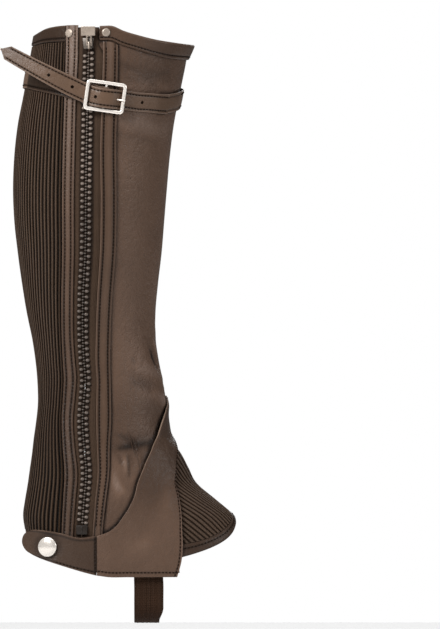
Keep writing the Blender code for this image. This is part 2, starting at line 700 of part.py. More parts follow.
def zip_and_facings():
    """The two halves of the zip tape, the chain of teeth as one strip, its box, and the facings that hold it."""
    chain_back = edge_line(lambda z: -CHAIN_HALF - 0.6)
    chain_front = edge_line(lambda z: CHAIN_HALF + 0.6)
    tape = (level(TAPE_END), level(TAPE_TOP), TAPE_IN, TAPE_OUT, "zip_tape")
    long_strip("zip_tape_back", tape_back_edge, chain_back, *tape)
    long_strip("zip_tape_front", chain_front, tape_front_edge, *tape)
    teeth = (edge_line(lambda z: -CHAIN_HALF), edge_line(lambda z: CHAIN_HALF))
    long_strip("zip_chain", *teeth, level(CHAIN_END), level(CHAIN_TOP), CHAIN_IN, CHAIN_OUT, "zip_plastic")
    box = (edge_line(lambda z: -BOX_HALF), edge_line(lambda z: BOX_HALF))
    long_strip("zip_box", *box, level(BOX_END), level(BOX_TOP), BOX_IN, BOX_OUT, "zip_plastic", rows=3, columns=5)
    facing = (FACING_IN, FACING_OUT, "leather_trim", 27, 3)
    rim_top, rim_low = rim_line("top"), rim_line("low")
    facing_bottom = lambda angle: heel_edge(angle) - 1.0
    long_strip("zip_facing_back", facing_back_outer, facing_back_inner, facing_bottom, rim_top, *facing)
    long_strip(
        "zip_facing_front",
        facing_front_inner,
        facing_front_outer,
        level(PANEL_HEM + 2.2),
        lambda angle: rim_low(angle) - 4 * SEAM_GAP,
        *facing,
    )


def top_band(name, left, right, columns, lip):
    """A length of the leather band that binds the top edge. It turns out towards the front, and may lap over
    the edge of the panel below it."""
    low, high = rim_line("low"), rim_line("top")
    upward = np.array([0.0, 0.1, 0.2, 0.24, 0.6, 0.88, 1.0])
    grid = panel_grid(left, right, low, high, np.linspace(0, 1, columns), upward)
    flare = BAND_FLARE * np.clip(np.cos(np.radians(grid[0])), 0, 1) ** 1.5 * upward[:, None]
    outer = layer(grid, BAND_OUT - np.array([0.5, 0.0, 0.0, 0.0, 0.0, 0.1, 0.9])[:, None] + flare)
    inside = np.full(len(upward), BAND_IN)
    inside[-1] += 0.6
    if lip:
        inside[:3] = SEAM_GAP + 0.1
    inner = layer(grid, inside[:, None] + flare)
    return wall(name, outer, inner, "leather_trim")


def top_bands():
    band_start = edge_line(lambda z: zip_rows("front_inner", z) - 2.2)
    top_band("top_band_front", band_start, inner_seam, 27, lip=True)
    back_start = edge_line(lambda z: zip_rows("back_outer", z) - SEAM_GAP)
    top_band("top_band_back", back_start, ribs_end, 15, lip=False)


# Ankle -------------------------------------------------------------------------------------------------------


def overlay_out(angle, height):
    """How far the inner face of the overlay stands out: over the zip facings more than over the panel."""
    reach = leg_point(angle, height)[..., 0]
    over_facing = np.interp(reach, (14.0, 26.0), (2.2, 0.95)) * (np.asarray(angle) > 0)
    over_tip = np.interp(height, (-209.0, -194.0, -187.0, -158.0), (0.0, 1.0, 1.25, 0.95))
    return np.maximum(over_facing, 0.95) + over_tip


def side_points(rows, side=1):
    """(angle, height) points from points given in the side view."""
    rows = np.array(rows, float)
    return np.stack([angle_at(rows[:, 0], rows[:, 1], side), rows[:, 1]], axis=1)


def overlay_edges(columns, rows):
    """The four edges of the overlay: the tab joint, the front edge, the hem and the free edge."""
    free = np.concatenate([side_points(OVERLAY_FREE), OVERLAY_TIP])
    top = curve_through(free, columns)
    hem = curve_through(side_points(OVERLAY_HEM_LINE), columns)
    seam_line = np.stack([seam.columns["angle"], seam.places], axis=1) - [0.8, 0.0]
    sewn = np.array(OVERLAY_SEWN[::-1])
    front = np.concatenate([seam_line[:-1], sewn, top[-1:]])
    front[0] = hem[-1]
    joint = np.linspace(hem[0], top[0], rows)
    return joint, curve_through(front, rows), hem, top


def ankle_overlay():
    """The leather overlay that wraps the front of the ankle, sewn along the gusset seam and the hem."""
    columns, rows = 21, 27
    shares = np.linspace(0, 1, columns), np.linspace(0, 1, rows)
    joint, front, hem, top = overlay_edges(columns, rows)
    grid = evened(four_sided(joint, front, hem, top, *shares))
    coarse = tuple(part[:, ::2] for part in grid)
    return wall(
        "ankle_overlay",
        layer(grid, overlay_out(*grid) + OVERLAY_LEATHER),
        layer(coarse, overlay_out(*coarse)),
        "leather",
    )


def overlay_tab():
    """The closing tab, from its joint with the overlay to its rounded end. Its end stands free of the heel."""
    columns, rows = 15, 9
    bottom, top = curve_through(TAB_LOWER, columns), curve_through(TAB_UPPER, columns)
    end = curve_through(TAB_END, rows)
    joint = np.linspace(bottom[0], top[0], rows)
    reach, height = four_sided(joint, end, bottom, top, np.linspace(0, 1, columns), np.linspace(0, 1, rows))
    inner = np.stack([reach, tab_depth("side", reach), height], axis=-1)
    slope = tab_depth("side", reach + 1.0) - tab_depth("side", reach - 1.0)
    out = np.stack([slope / 2, -np.ones(slope.shape), np.zeros(slope.shape)], axis=-1)
    out /= np.linalg.norm(out, axis=-1, keepdims=True)
    return wall("overlay_tab", inner + OVERLAY_LEATHER * out, inner[:, ::2], "leather_trim")


def gusset_line(shares, column):
    """Points along the ribs' end or the lower edge of the gusset, from the inner side to the outer one."""
    limit = gusset_edges.places[-1]
    angle = limit * shares
    return np.stack([angle, gusset_edges(column, np.abs(angle))], axis=1)


def gusset_seam_line(shares):
    """Points along the seam above the gusset, from the inner side to the outer one."""
    top, low = SEAM[0][0], gusset_edges.columns["ribs_end"][-1] + 1.2
    height = top + (low - top) * np.abs(shares)
    angle = np.interp(-height, -seam.places[::-1], seam.columns["angle"][::-1])
    return np.stack([np.sign(shares) * angle, height], axis=1)


def instep_gusset():
    """The ribbed gusset over the instep. Its ribs run forward and down from the seam on both sides."""
    samples = 2 * GUSSET_RIBS
    rows = 7
    shares = np.arange(-samples, samples + 1) / samples
    upward = np.linspace(0, 1, rows)
    seam_line, end_line = gusset_seam_line(shares), gusset_line(shares, "ribs_end")
    sides = [np.linspace(seam_line[i], end_line[i], rows) for i in (0, -1)]
    grid = four_sided(*sides, seam_line, end_line, (shares + 1) / 2, upward)
    rise = GUSSET_RIB_RISE * rib_profile(np.arange(2 * samples + 1) / 2.0)
    coarse = tuple(part[:, ::4] for part in grid)
    outer, inner = layer(grid, GUSSET_OUT + rise[None]), layer(coarse, GUSSET_IN)
    return wall("instep_gusset", outer, inner, "elastic")


def gusset_binding():
    """The plain band along the lower edge of the gusset."""
    shares = np.linspace(-1, 1, 25)
    ribs_end_line, lower = gusset_line(shares, "ribs_end"), gusset_line(shares, "lower")
    ribs_end_line[:, 1] -= SEAM_GAP + 0.1
    upward = np.array([0.0, 0.2, 0.8, 1.0])
    sides = [lower[i] + (ribs_end_line[i] - lower[i]) * upward[:, None] for i in (0, -1)]
    grid = four_sided(*sides, lower, ribs_end_line, (shares + 1) / 2, upward)
    rounding = np.array([0.7, 0.0, 0.0, 0.5])[:, None]
    return wall("gusset_binding", layer(grid, 0.7 - rounding), layer(grid, GUSSET_IN), "leather_trim")


def heel_binding():
    """The narrow binding along the heel notch, under the edge of the back panel."""
    lines = [rib_line(ribs, clear=0.6) for ribs in range(RIB_COUNT + 1)]
    grid = lines_grid(lines, lambda a: heel_edge(a) - 3.0, lambda a: heel_edge(a) - 0.5, (0.0, 1.0))
    return wall("heel_binding", layer(grid, 0.9), layer(grid, PANEL_IN), "leather_trim")


# Straps ------------------------------------------------------------------------------------------------------


def sweep(name, path, across, facing, width, thick, finish):
    """A flat strap along a path: its width lies along `across`, and its thickness along `facing`."""
    half = np.broadcast_to(np.asarray(width, float) / 2, len(path))[:, None]
    signs = ((-1, -1), (1, -1), (1, 1), (-1, 1))
    corners = [path + across * half * a + facing * thick / 2 * b for a, b in signs]
    rings = np.stack(corners, axis=1)
    count = len(path)
    numbers = np.arange(count * 4).reshape(count, 4).tolist()
    faces = [tuple(numbers[0]), tuple(numbers[-1])]
    for low, high in zip(numbers, numbers[1:]):
        faces += [(low[i], low[(i + 1) % 4], high[(i + 1) % 4], high[i]) for i in range(4)]
    return add_object(name, rings.reshape(-1, 3), faces, finish, smooth_angle=50.0)


def frames_along(path, out):
    """Unit directions across a strap and out of its face, for a path and a rough outward direction."""
    along = np.gradient(path, axis=0)
    along /= np.linalg.norm(along, axis=1, keepdims=True)
    across = np.cross(out, along)
    across /= np.linalg.norm(across, axis=1, keepdims=True)
    facing = np.cross(along, across)
    return across, facing


def buckle_frame_of_reference():
    """The buckle's own place: its middle, and its directions along the strap, across it and outwards."""
    angle = float(angle_at(BUCKLE_REACH, BUCKLE_HEIGHT))
    middle = leg_point(angle, BUCKLE_HEIGHT)
    out = leg_normal(angle, BUCKLE_HEIGHT)
    tilt = math.radians(BUCKLE_TILT)
    along = np.array([math.cos(tilt), 0.0, -math.sin(tilt)])
    along -= out * (along @ out)
    along /= np.linalg.norm(along)
    across = np.cross(along, -out)
    if across[2] < 0:
        across = -across
    return middle, along, across, out


def in_buckle(rows):
    middle, along, across, out = buckle_frame_of_reference()
    rows = np.array(rows, float)
    return middle + rows[:, :1] * along + rows[:, 1:2] * across + rows[:, 2:] * out


def band_path():
    """The middle line of the band round the calf, ending in a turn round the buckle's middle bar."""
    rows = curve_through(BAND_PATH, 49)
    angle = -rows[:, 0]
    out = leg_normal(angle, rows[:, 1])
    path = leg_point(angle, rows[:, 1]) + out * (rows[:, 2:] + STRAP_LEATHER / 2)
    return path, out


def turn_round_bar():
    """The end of the band: it passes under the middle bar, turns up round it and comes back over it."""
    radius = BUCKLE_MIDDLE_BAR + 0.3 + STRAP_LEATHER / 2
    turn = np.radians(np.linspace(-90, 90, 9))
    along = np.concatenate([[-7.0, -3.2], radius * np.cos(turn), [-2.4]])
    low, high = BUCKLE_MIDDLE_OUT - radius, BUCKLE_MIDDLE_OUT + radius
    out = np.concatenate([[2.4, low], BUCKLE_MIDDLE_OUT + radius * np.sin(turn), [high - 0.1]])
    face = np.stack([np.gradient(out), -np.gradient(along)], axis=1)
    face /= np.linalg.norm(face, axis=1, keepdims=True)
    _, u, _, n = buckle_frame_of_reference()
    facing = -(face[:, :1] * u + face[:, 1:] * n)
    return in_buckle(np.stack([along, np.zeros(len(along)), out], axis=1)), facing


def calf_strap_band():
    leg_path, leg_out = band_path()
    turn_path, turn_out = turn_round_bar()
    _, along, _, _ = buckle_frame_of_reference()
    middle = buckle_frame_of_reference()[0]
    keep = (leg_path - middle) @ along < -9.5
    keep |= np.arange(len(leg_path)) < len(leg_path) // 2
    path = np.concatenate([leg_path[keep], turn_path])
    out = np.concatenate([leg_out[keep], turn_out])
    across, facing = frames_along(path, out)
    strap = sweep("calf_strap_band", path, across, facing, STRAP_WIDTH, STRAP_LEATHER, "leather")
    slot = prong_slot_cutter()
    cut(strap, slot)
    return strap


def tail_grid(count=53):
    """The middle surface of the holed strap, from its sewn end through the buckle to its free tip, as rows of
    three points across it, and how far along the strap each row lies."""
    rows = np.array(TAIL_ON_LEG)
    angle = angle_at(rows[:, 0], rows[:, 1])
    on_leg = leg_point(angle, rows[:, 1]) + leg_normal(angle, rows[:, 1]) * (rows[:, 2:] + STRAP_LEATHER / 2)
    flat = np.array(TAIL_IN_BUCKLE)
    in_plane = in_buckle(np.column_stack([flat, tail_rise("out", flat[:, 0])]))
    path = curve_through(np.concatenate([on_leg, in_plane, TAIL_FREE]), count * 6)
    middle, along, across, out = buckle_frame_of_reference()
    place = (path - middle) @ along
    inside = np.abs(place) < 18.0
    path[inside] += out * (tail_rise("out", place[inside]) - (path[inside] - middle) @ out)[:, None]
    length = np.concatenate([[0.0], np.cumsum(np.linalg.norm(np.diff(path, axis=0), axis=1))])
    close = np.where(np.abs((path - middle) @ along) < 19.0, 3.0, 1.0) + (length[-1] - length < TAIL_TIP)
    share = np.cumsum(close) - close[0]
    even = np.interp(np.linspace(0, share[-1], count), share, length)
    path = np.stack([np.interp(even, length, column) for column in path.T], axis=1)
    leg_out = leg_normal(angle_at(path[:, 0], path[:, 2]), path[:, 2])
    share = np.clip((path[:, 0] - 20.0) / 16.0, 0, 1)[:, None]
    level, _ = frames_along(path, leg_out * share + out * (1 - share))
    left = even[-1] - even
    width = STRAP_WIDTH - TAIL_NARROWING * np.clip(1 - left / 60.0, 0, 1)
    width = width * np.clip(left / TAIL_TIP, 0.12, 1)
    grid = path[:, None] + level[:, None] * (width[:, None, None] / 2) * np.array([-1.0, 0.0, 1.0])[:, None]
    place = (grid - middle) @ along
    weight = np.clip((20.0 - np.abs(place)) / 4.0, 0, 1)
    grid += out * (weight * (tail_rise("out", place) - (grid - middle) @ out))[..., None]
    return grid, even


def sheet_wall(name, middle, thick, finish):
    """A wall of even thickness about a grid of points."""
    normal = np.cross(np.gradient(middle, axis=0), np.gradient(middle, axis=1))
    normal /= np.linalg.norm(normal, axis=-1, keepdims=True)
    return wall(name, middle + normal * thick / 2, middle - normal * thick / 2, finish)


def calf_strap_tail():
    """The holed strap, with its free end cut to a point."""
    grid, length = tail_grid()
    strap = sheet_wall("calf_strap_tail", grid, STRAP_LEATHER, "leather_trim")
    middle, along, _, _ = buckle_frame_of_reference()
    path = grid[:, 1]
    prong_place = np.interp(-PRONG_HOLE, -((path - middle) @ along), length)
    for number in (-1, 1, 2, 3):
        place = prong_place + number * HOLE_SPACING
        centre = np.array([np.interp(place, length, column) for column in path.T])
        nearest = min(int(np.argmin(np.abs(length - place))), len(path) - 2)
        normal = np.cross(path[nearest + 1] - path[nearest - 1], grid[nearest, 2] - grid[nearest, 0])
        cut(strap, pin(f"hole_cutter_{number + 1}", centre, normal, STRAP_HOLE / 2, 6.0, 8))
    cut(strap, wire("prong_cutter", prong_points(), PRONG_WIRE / 2 + 0.35, 4, reach=2.0))
    return strap


def pin(name, centre, direction, radius, length, sides):
    """A plain round pin in millimetres, kept as a cutter."""
    mesh = bpy.data.meshes.new(name)
    shape = bmesh.new()
    bmesh.ops.create_cone(
        shape, cap_ends=True, segments=sides, depth=length * MM, radius1=radius * MM, radius2=radius * MM
    )
    shape.to_mesh(mesh)
    shape.free()
    obj = bpy.data.objects.new(name, mesh)
    bpy.context.scene.collection.objects.link(obj)
    turn = Vector(direction).to_track_quat("Z", "X").to_matrix().to_4x4()
    obj.matrix_world = Matrix.Translation(Vector(centre) * MM) @ turn
    return obj


def prong_points():
    """The prong: a hook round the middle bar, then forward through the strap to rest on the far bar."""
    radius = BUCKLE_MIDDLE_BAR + 0.25 + PRONG_WIRE / 2
    turn = np.radians(np.linspace(-100, -290, 8))
    hook = [(radius * math.cos(a), PRONG_ACROSS, BUCKLE_MIDDLE_OUT + radius * math.sin(a)) for a in turn]
    rest = BUCKLE_OUT + BUCKLE_THICK + PRONG_WIRE / 2 + 0.25
    reach = [(5.0, 4.5), (9.0, 4.5), (11.2, rest - 0.6), (12.6, rest), (15.4, rest)]
    return in_buckle(hook + [(along, PRONG_ACROSS, out) for along, out in reach])


def wire(name, points, radius, sides, reach=0.0):
    """A round wire along points, with closed ends."""
    points = np.asarray(points, float)
    if reach:
        points[-1] += (points[-1] - points[-2]) / np.linalg.norm(points[-1] - points[-2]) * reach
    path = curve_through(points, 2 * len(points))
    along = np.gradient(path, axis=0)
    along /= np.linalg.norm(along, axis=1, keepdims=True)
    side = np.cross(along, buckle_frame_of_reference()[2])
    side /= np.linalg.norm(side, axis=1, keepdims=True)
    other = np.cross(along, side)
    turns = np.radians(np.arange(2 * sides) * 180.0 / sides)
    rings = np.stack([path + radius * (side * math.cos(a) + other * math.sin(a)) for a in turns], axis=1)
    numbers = np.arange(rings.shape[0] * rings.shape[1]).reshape(rings.shape[:2]).tolist()
    faces = [tuple(numbers[0]), tuple(numbers[-1])]
    for low, high in zip(numbers, numbers[1:]):
        faces += [(a, b, d, c) for a, b, c, d in zip(low, low[1:] + low[:1], high, high[1:] + high[:1])]
    return add_object(name, rings.reshape(-1, 3), faces, "nickel")


def prong_slot_cutter():
    """A block that opens the band's turn where the prong's hook sits."""
    middle, along, across, out = buckle_frame_of_reference()
    centre = middle + along * 1.6 + across * PRONG_ACROSS + out * BUCKLE_MIDDLE_OUT
    mesh = bpy.data.meshes.new("prong_slot")
    shape = bmesh.new()
    size = Matrix.Diagonal((8.0 * MM, (PRONG_WIRE + 0.9) * MM, 5.2 * MM, 1.0))
    bmesh.ops.create_cube(shape, size=1.0, matrix=size)
    shape.to_mesh(mesh)
    shape.free()
    obj = bpy.data.objects.new("prong_slot", mesh)
    bpy.context.scene.collection.objects.link(obj)
    turn = Matrix((along, across, np.cross(along, across))).transposed().to_4x4()
    obj.matrix_world = Matrix.Translation(Vector(centre) * MM) @ turn
    return obj


def cut(obj, cutter):
    """Cuts one object from another, and leaves the cutter out of the model."""
    cutter.hide_render = True
    cutter.display_type = "WIRE"
    boolean = obj.modifiers.new(cutter.name, "BOOLEAN")
    boolean.operation = "DIFFERENCE"
    boolean.object = cutter


def understrap():
    """The elastic strap under the boot: inside the hem on both sides, with a flat stretch under the arch."""
    columns = []
    inset = PANEL_IN - 2 * SEAM_GAP - ELASTIC_WEB / 2
    lap = np.linspace(PANEL_HEM + UNDER_LAP, PANEL_HEM, 4)
    bend_top = UNDER_LOW + UNDER_TURN
    turn = np.radians(np.linspace(0, 90, 7)[1:])
    flat_side = garment_point(angle_at((UNDER_BACK + UNDER_FRONT) / 2, PANEL_HEM), PANEL_HEM, inset)[1] + 1.0
    for share in np.linspace(0, 1, 5):
        reach = UNDER_BACK + (UNDER_FRONT - UNDER_BACK) * share
        side = garment_point(angle_at(reach, lap), lap, inset)
        for down in (0.4, 1.0):
            height = PANEL_HEM + (bend_top - PANEL_HEM) * down
            side = np.append(side, [[reach, side[3, 1] * (1 - down) + flat_side * down, height]], axis=0)
        across, down = flat_side + UNDER_TURN * (1 - np.cos(turn)), bend_top - UNDER_TURN * np.sin(turn)
        bend = np.stack([np.full(len(turn), reach), across, down], axis=1)
        half = np.concatenate([side, bend])
        narrowing = np.clip((-322.0 - half[:, 2]) / 8.0, 0, 1) * share
        half[:, 0] -= UNDER_NARROWING * narrowing
        columns.append(np.concatenate([half, half[::-1] * [1, -1, 1]]))
    return sheet_wall("understrap", np.stack(columns, axis=1), ELASTIC_WEB, "webbing")


# Hardware ----------------------------------------------------------------------------------------------------


def place_at(name, spot, normal):
    """An empty at a spot: its Z outwards, its Y up along the garment, its X to one side."""
    up = Vector((0.0, 0.0, 1.0))
    up = (up - normal * up.dot(normal)).normalized()
    place = bpy.data.objects.new(name, None)
    bpy.context.scene.collection.objects.link(place)
    turn = Matrix((up.cross(normal), up, normal)).transposed().to_4x4()
    place.matrix_world = Matrix.Translation(Vector(spot) * MM) @ turn
    return place


def place_on_leg(name, angle, height, out):
    """An empty on the garment, this far out from the leg surface."""
    normal = Vector(leg_normal(angle, height))
    return place_at(name, Vector(leg_point(angle, height)) + normal * out, normal)


def child(obj, place, spot=(0, 0, 0), turn=None):
    """Parents an object to a place, with its own origin at a spot there in millimetres."""
    obj.parent = place
    obj.matrix_parent_inverse = Matrix.Identity(4)
    obj.location = Vector(spot) * MM
    if turn:
        obj.rotation_euler = turn
    return obj


def dome(name, radius, rise, finish, sides=28, rings=5):
    """A flat-bottomed dome with a short rim, as a stud head or a snap cap."""
    rim_height = rise * 0.22
    profile = [(radius * 0.96, 0.0), (radius, rim_height)]
    for ring in range(1, rings):
        a = math.radians(90 * ring / rings)
        profile.append((radius * math.cos(a), rim_height + (rise - rim_height) * math.sin(a)))
    points = [(0.0, 0.0, 0.0)]
    for r, z in profile:
        points += [(r * math.cos(t), r * math.sin(t), z) for t in np.radians(np.arange(sides) * 360 / sides)]
    points.append((0.0, 0.0, rise))
    faces = [(0, 1 + (i + 1) % sides, 1 + i) for i in range(sides)]
    for ring in range(len(profile) - 1):
        low, high = 1 + ring * sides, 1 + (ring + 1) * sides
        faces += [(low + i, low + (i + 1) % sides, high + (i + 1) % sides, high + i) for i in range(sides)]
    last = 1 + (len(profile) - 1) * sides
    faces += [(last + i, last + (i + 1) % sides, len(points) - 1) for i in range(sides)]
    return add_object(name, points, faces, finish)


def studs():
    """The press stud of the tab and the two rivets at the top of the zip."""
    slope = float(tab_depth("side", SNAP_REACH + 7.0) - tab_depth("side", SNAP_REACH - 7.0)) / 14.0
    out = Vector((slope, -1.0, 0.0)).normalized()
    on_tab = Vector((SNAP_REACH, float(tab_depth("side", SNAP_REACH)), SNAP_HEIGHT))
    spot = on_tab + out * (OVERLAY_LEATHER + 0.9)
    place = place_at("snap_place", spot, out)
    child(dome("snap_cap", SNAP_RADIUS, SNAP_RISE, "nickel"), place)
    for name, reach, height in RIVETS:
        angle = float(angle_at(reach, height))
        out = BAND_OUT + BAND_FLARE * 0.05 + SEAM_GAP
        spot = place_on_leg(f"{name}_place", angle, height, out)
        child(dome(name, RIVET_RADIUS, RIVET_RISE, "bronze", sides=16, rings=3), spot)


def block(name, outline, low, high, finish, bevel=0.0):
    """An upright block over a flat outline, with its long edges bevelled."""
    mesh = bpy.data.meshes.new(name)
    shape = bmesh.new()
    base = [shape.verts.new(Vector((x, y, low)) * MM) for x, y in outline]
    face = shape.faces.new(base)
    raised = bmesh.ops.extrude_face_region(shape, geom=[face])["geom"]
    moved = [item for item in raised if isinstance(item, bmesh.types.BMVert)]
    bmesh.ops.translate(shape, verts=moved, vec=Vector((0, 0, high - low)) * MM)
    bmesh.ops.recalc_face_normals(shape, faces=shape.faces[:])
    if bevel:
        bmesh.ops.bevel(shape, geom=shape.edges[:], offset=bevel * MM, segments=2, affect="EDGES", profile=0.5)
    shape.to_mesh(mesh)
    shape.free()
    mesh.materials.append(material(finish))
    obj = bpy.data.objects.new(name, mesh)
    bpy.context.scene.collection.objects.link(obj)
    return obj


def bar_along(name, points, half_width, half_thick, widthwise, finish):
    """A bar of rectangular section along a flat path."""
    path = np.array(points, float)
    across = np.tile(np.array(widthwise, float), (len(path), 1))
    along = np.gradient(path, axis=0)
    facing = np.cross(along, across)
    facing /= np.linalg.norm(facing, axis=1, keepdims=True)
    return sweep(name, path, across, facing, 2 * half_width, 2 * half_thick, finish)


def join(obj, other):
    """Joins a second shape to the first as one body, and leaves the second out of the model."""
    other.hide_render = True
    other.display_type = "WIRE"
    boolean = obj.modifiers.new(other.name, "BOOLEAN")
    boolean.operation = "UNION"
    boolean.object = other


def zip_slider_and_pull():
    """The slider on the chain, its bail, and the pull tab, which turns on the bail."""
    angle = float(angle_at(zip_rows("line", SLIDER_HEIGHT), SLIDER_HEIGHT))
    place = place_on_leg("slider_place", angle, SLIDER_HEIGHT, 0.0)
    long, wide, neck = SLIDER_LENGTH / 2, SLIDER_WIDTH / 2, SLIDER_NECK / 2
    outline = [(-neck, -long), (neck, -long), (wide, 0.2 * long)]
    outline += [(wide, long), (-wide, long), (-wide, 0.2 * long)]
    body_block = child(block("zip_slider", outline, SLIDER_IN, SLIDER_OUT, "bronze", bevel=0.5), place)
    span, top = BAIL_SPAN / 2, SLIDER_OUT + BAIL_RISE - BAIL_WIRE / 2
    arch = [(0, -span, SLIDER_OUT - 0.6), (0, -span, top - 1.0), (0, -span + 0.8, top - 0.15), (0, 0, top)]
    arch += [(0, span - 0.8, top - 0.15), (0, span, top - 1.0), (0, span, SLIDER_OUT - 0.6)]
    spot = (BAIL_SIDE, -PULL_PIVOT_DROP, 0)
    bail = child(bar_along("bail", arch, BAIL_WIDTH / 2, BAIL_WIRE / 2, (1, 0, 0), "bronze"), place, spot)
    join(body_block, bail)
    child(zip_pull(), place, (BAIL_SIDE, -PULL_PIVOT_DROP, PULL_PIVOT_OUT), (math.radians(PULL_LEAN), 0, 0))


def zip_pull():
    """The pull: a bare plate and a long loop whose lower bar is the hinge, on the object's own X axis."""
    half, wire = PULL_LOOP_WIDTH / 2, PULL_WIRE / 2
    loop = [(-half, -wire), (half, -wire), (half, PULL_LOOP_LENGTH), (-half, PULL_LOOP_LENGTH)]
    pull = block("zip_pull", loop, -wire, wire, "bronze", bevel=0.2)
    inner, far = half - PULL_WIRE, PULL_LOOP_LENGTH - 0.8
    corners = [(-inner, wire), (inner, wire), (inner, far), (-inner, far)]
    window = block("pull_window", corners, -3.0, 3.0, "bronze")
    cut(pull, window)
    left, right = PULL_PLATE_SIDE - PULL_PLATE_WIDTH / 2, PULL_PLATE_SIDE + PULL_PLATE_WIDTH / 2
    low, thick = PULL_LOOP_LENGTH - 0.6, PULL_PLATE_THICK / 2
    high = low + PULL_PLATE_LENGTH
    outline = [(left, low), (right, low), (right, high), (left, high)]
    plate = block("pull_plate", outline, -thick, thick, "bronze", bevel=0.3)
    join(pull, plate)
    window.parent = plate.parent = pull
    return pull


def rounded_corners(length, width, radius):
    """The outline of a rectangle with rounded corners, four points to a corner."""
    outline = []
    for sign_x, sign_y, start in ((1, 1, 0), (-1, 1, 90), (-1, -1, 180), (1, -1, 270)):
        for step in (0, 30, 60, 90):
            a = math.radians(start + step)
            x = sign_x * (length / 2 - radius) + radius * math.cos(a)
            outline.append(np.array([x, sign_y * (width / 2 - radius) + radius * math.sin(a)]))
    return outline


def buckle():
    """The nickel buckle: a rectangular frame with rounded corners and a middle bar, and its prong."""
    place = bpy.data.objects.new("buckle_place", None)
    bpy.context.scene.collection.objects.link(place)
    middle, along, across, out = buckle_frame_of_reference()
    if np.cross(along, across) @ out < 0:
        along = -along
    turn = Matrix((along, across, out)).transposed().to_4x4()
    place.matrix_world = Matrix.Translation(Vector(middle) * MM) @ turn
    outside = rounded_corners(BUCKLE_LENGTH, BUCKLE_WIDTH, BUCKLE_CORNER)
    window = rounded_corners(BUCKLE_LENGTH - 2 * BUCKLE_BAR, BUCKLE_WIDTH - 2 * BUCKLE_BAR, BUCKLE_INNER_CORNER)
    half_bar, half_thick = BUCKLE_BAR / 2, BUCKLE_THICK / 2
    soft = 0.55
    profile = [(half_bar - soft, half_thick), (half_bar, half_thick - soft), (half_bar, soft - half_thick)]
    profile += [(half_bar - soft, -half_thick), (soft - half_bar, -half_thick), (-half_bar, soft - half_thick)]
    profile += [(-half_bar, half_thick - soft), (soft - half_bar, half_thick)]
    middle_height = BUCKLE_OUT + half_thick
    points = []
    for outer, inner in zip(outside, window):
        for away, up in profile:
            spot = inner + (outer - inner) * (away + half_bar) / BUCKLE_BAR
            points.append((spot[0], spot[1], middle_height + up))
    faces = []
    for i in range(len(outside)):
        low, high = i * 8, (i + 1) % len(outside) * 8
        faces += [(low + k, low + (k + 1) % 8, high + (k + 1) % 8, high + k) for k in range(8)]
    frame = child(add_object("buckle_frame", points, faces, "nickel"), place)
    bar = pin("middle_bar", (0, 0, 0), (0, 1, 0), BUCKLE_MIDDLE_BAR, BUCKLE_WIDTH - BUCKLE_BAR, 10)
    child(bar, place, (0, 0, BUCKLE_MIDDLE_OUT), (math.radians(-90), 0, 0))
    join(frame, bar)
    wire("buckle_prong", prong_points(), PRONG_WIRE / 2, 4)


def build():
    for obj in list(bpy.data.objects):
        bpy.data.objects.remove(obj)
    front_panel()
    back_elastic_panel()
    zip_and_facings()
    top_bands()
    ankle_overlay()
    overlay_tab()
    instep_gusset()
    gusset_binding()
    heel_binding()
    buckle()
    calf_strap_band()
    calf_strap_tail()
    understrap()
    studs()
    zip_slider_and_pull()


build()
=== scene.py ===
"""The looks of a leather half chap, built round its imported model.

Frame: +X to the toe, -Y to the outer side of the leg, where the zip runs, +Z up. Lengths in the tables are in
millimetres, as in the part's source, and become metres in the meshes. A point of the garment is given by its
angle round the leg (0 at the front, 90 on the outer side), its height, and how far out it stands from the leg
surface. Every cloth piece is a closed wall between two grids of such points.
"""

import math

import bmesh
import bpy
import numpy as np
from mathutils import Matrix, Vector


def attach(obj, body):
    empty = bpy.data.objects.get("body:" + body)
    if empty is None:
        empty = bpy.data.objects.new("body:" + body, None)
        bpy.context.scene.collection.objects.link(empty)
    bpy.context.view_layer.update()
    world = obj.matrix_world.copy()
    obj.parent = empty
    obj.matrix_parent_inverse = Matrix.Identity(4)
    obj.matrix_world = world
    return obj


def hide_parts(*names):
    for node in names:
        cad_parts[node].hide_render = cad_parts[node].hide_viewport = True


bl_info = {
    "name": "Half chap",
    "version": (1, 0, 0),
    "blender": (4, 5, 0),
    "location": "3D View > Sidebar > Half chap",
    "description": "Builds the leather, elastic, zip, straps and metal of a half chap round its packed model",
    "category": "Object",
}

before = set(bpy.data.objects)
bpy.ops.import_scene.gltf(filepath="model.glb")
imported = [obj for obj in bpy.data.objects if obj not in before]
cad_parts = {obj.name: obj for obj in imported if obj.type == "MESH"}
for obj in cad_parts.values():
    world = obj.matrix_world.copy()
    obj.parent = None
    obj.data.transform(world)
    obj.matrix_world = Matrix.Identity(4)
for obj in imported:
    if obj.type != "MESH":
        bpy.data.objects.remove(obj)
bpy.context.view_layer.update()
MM = 0.001

# The leg surface, the zip, the rim and the seams --------------------

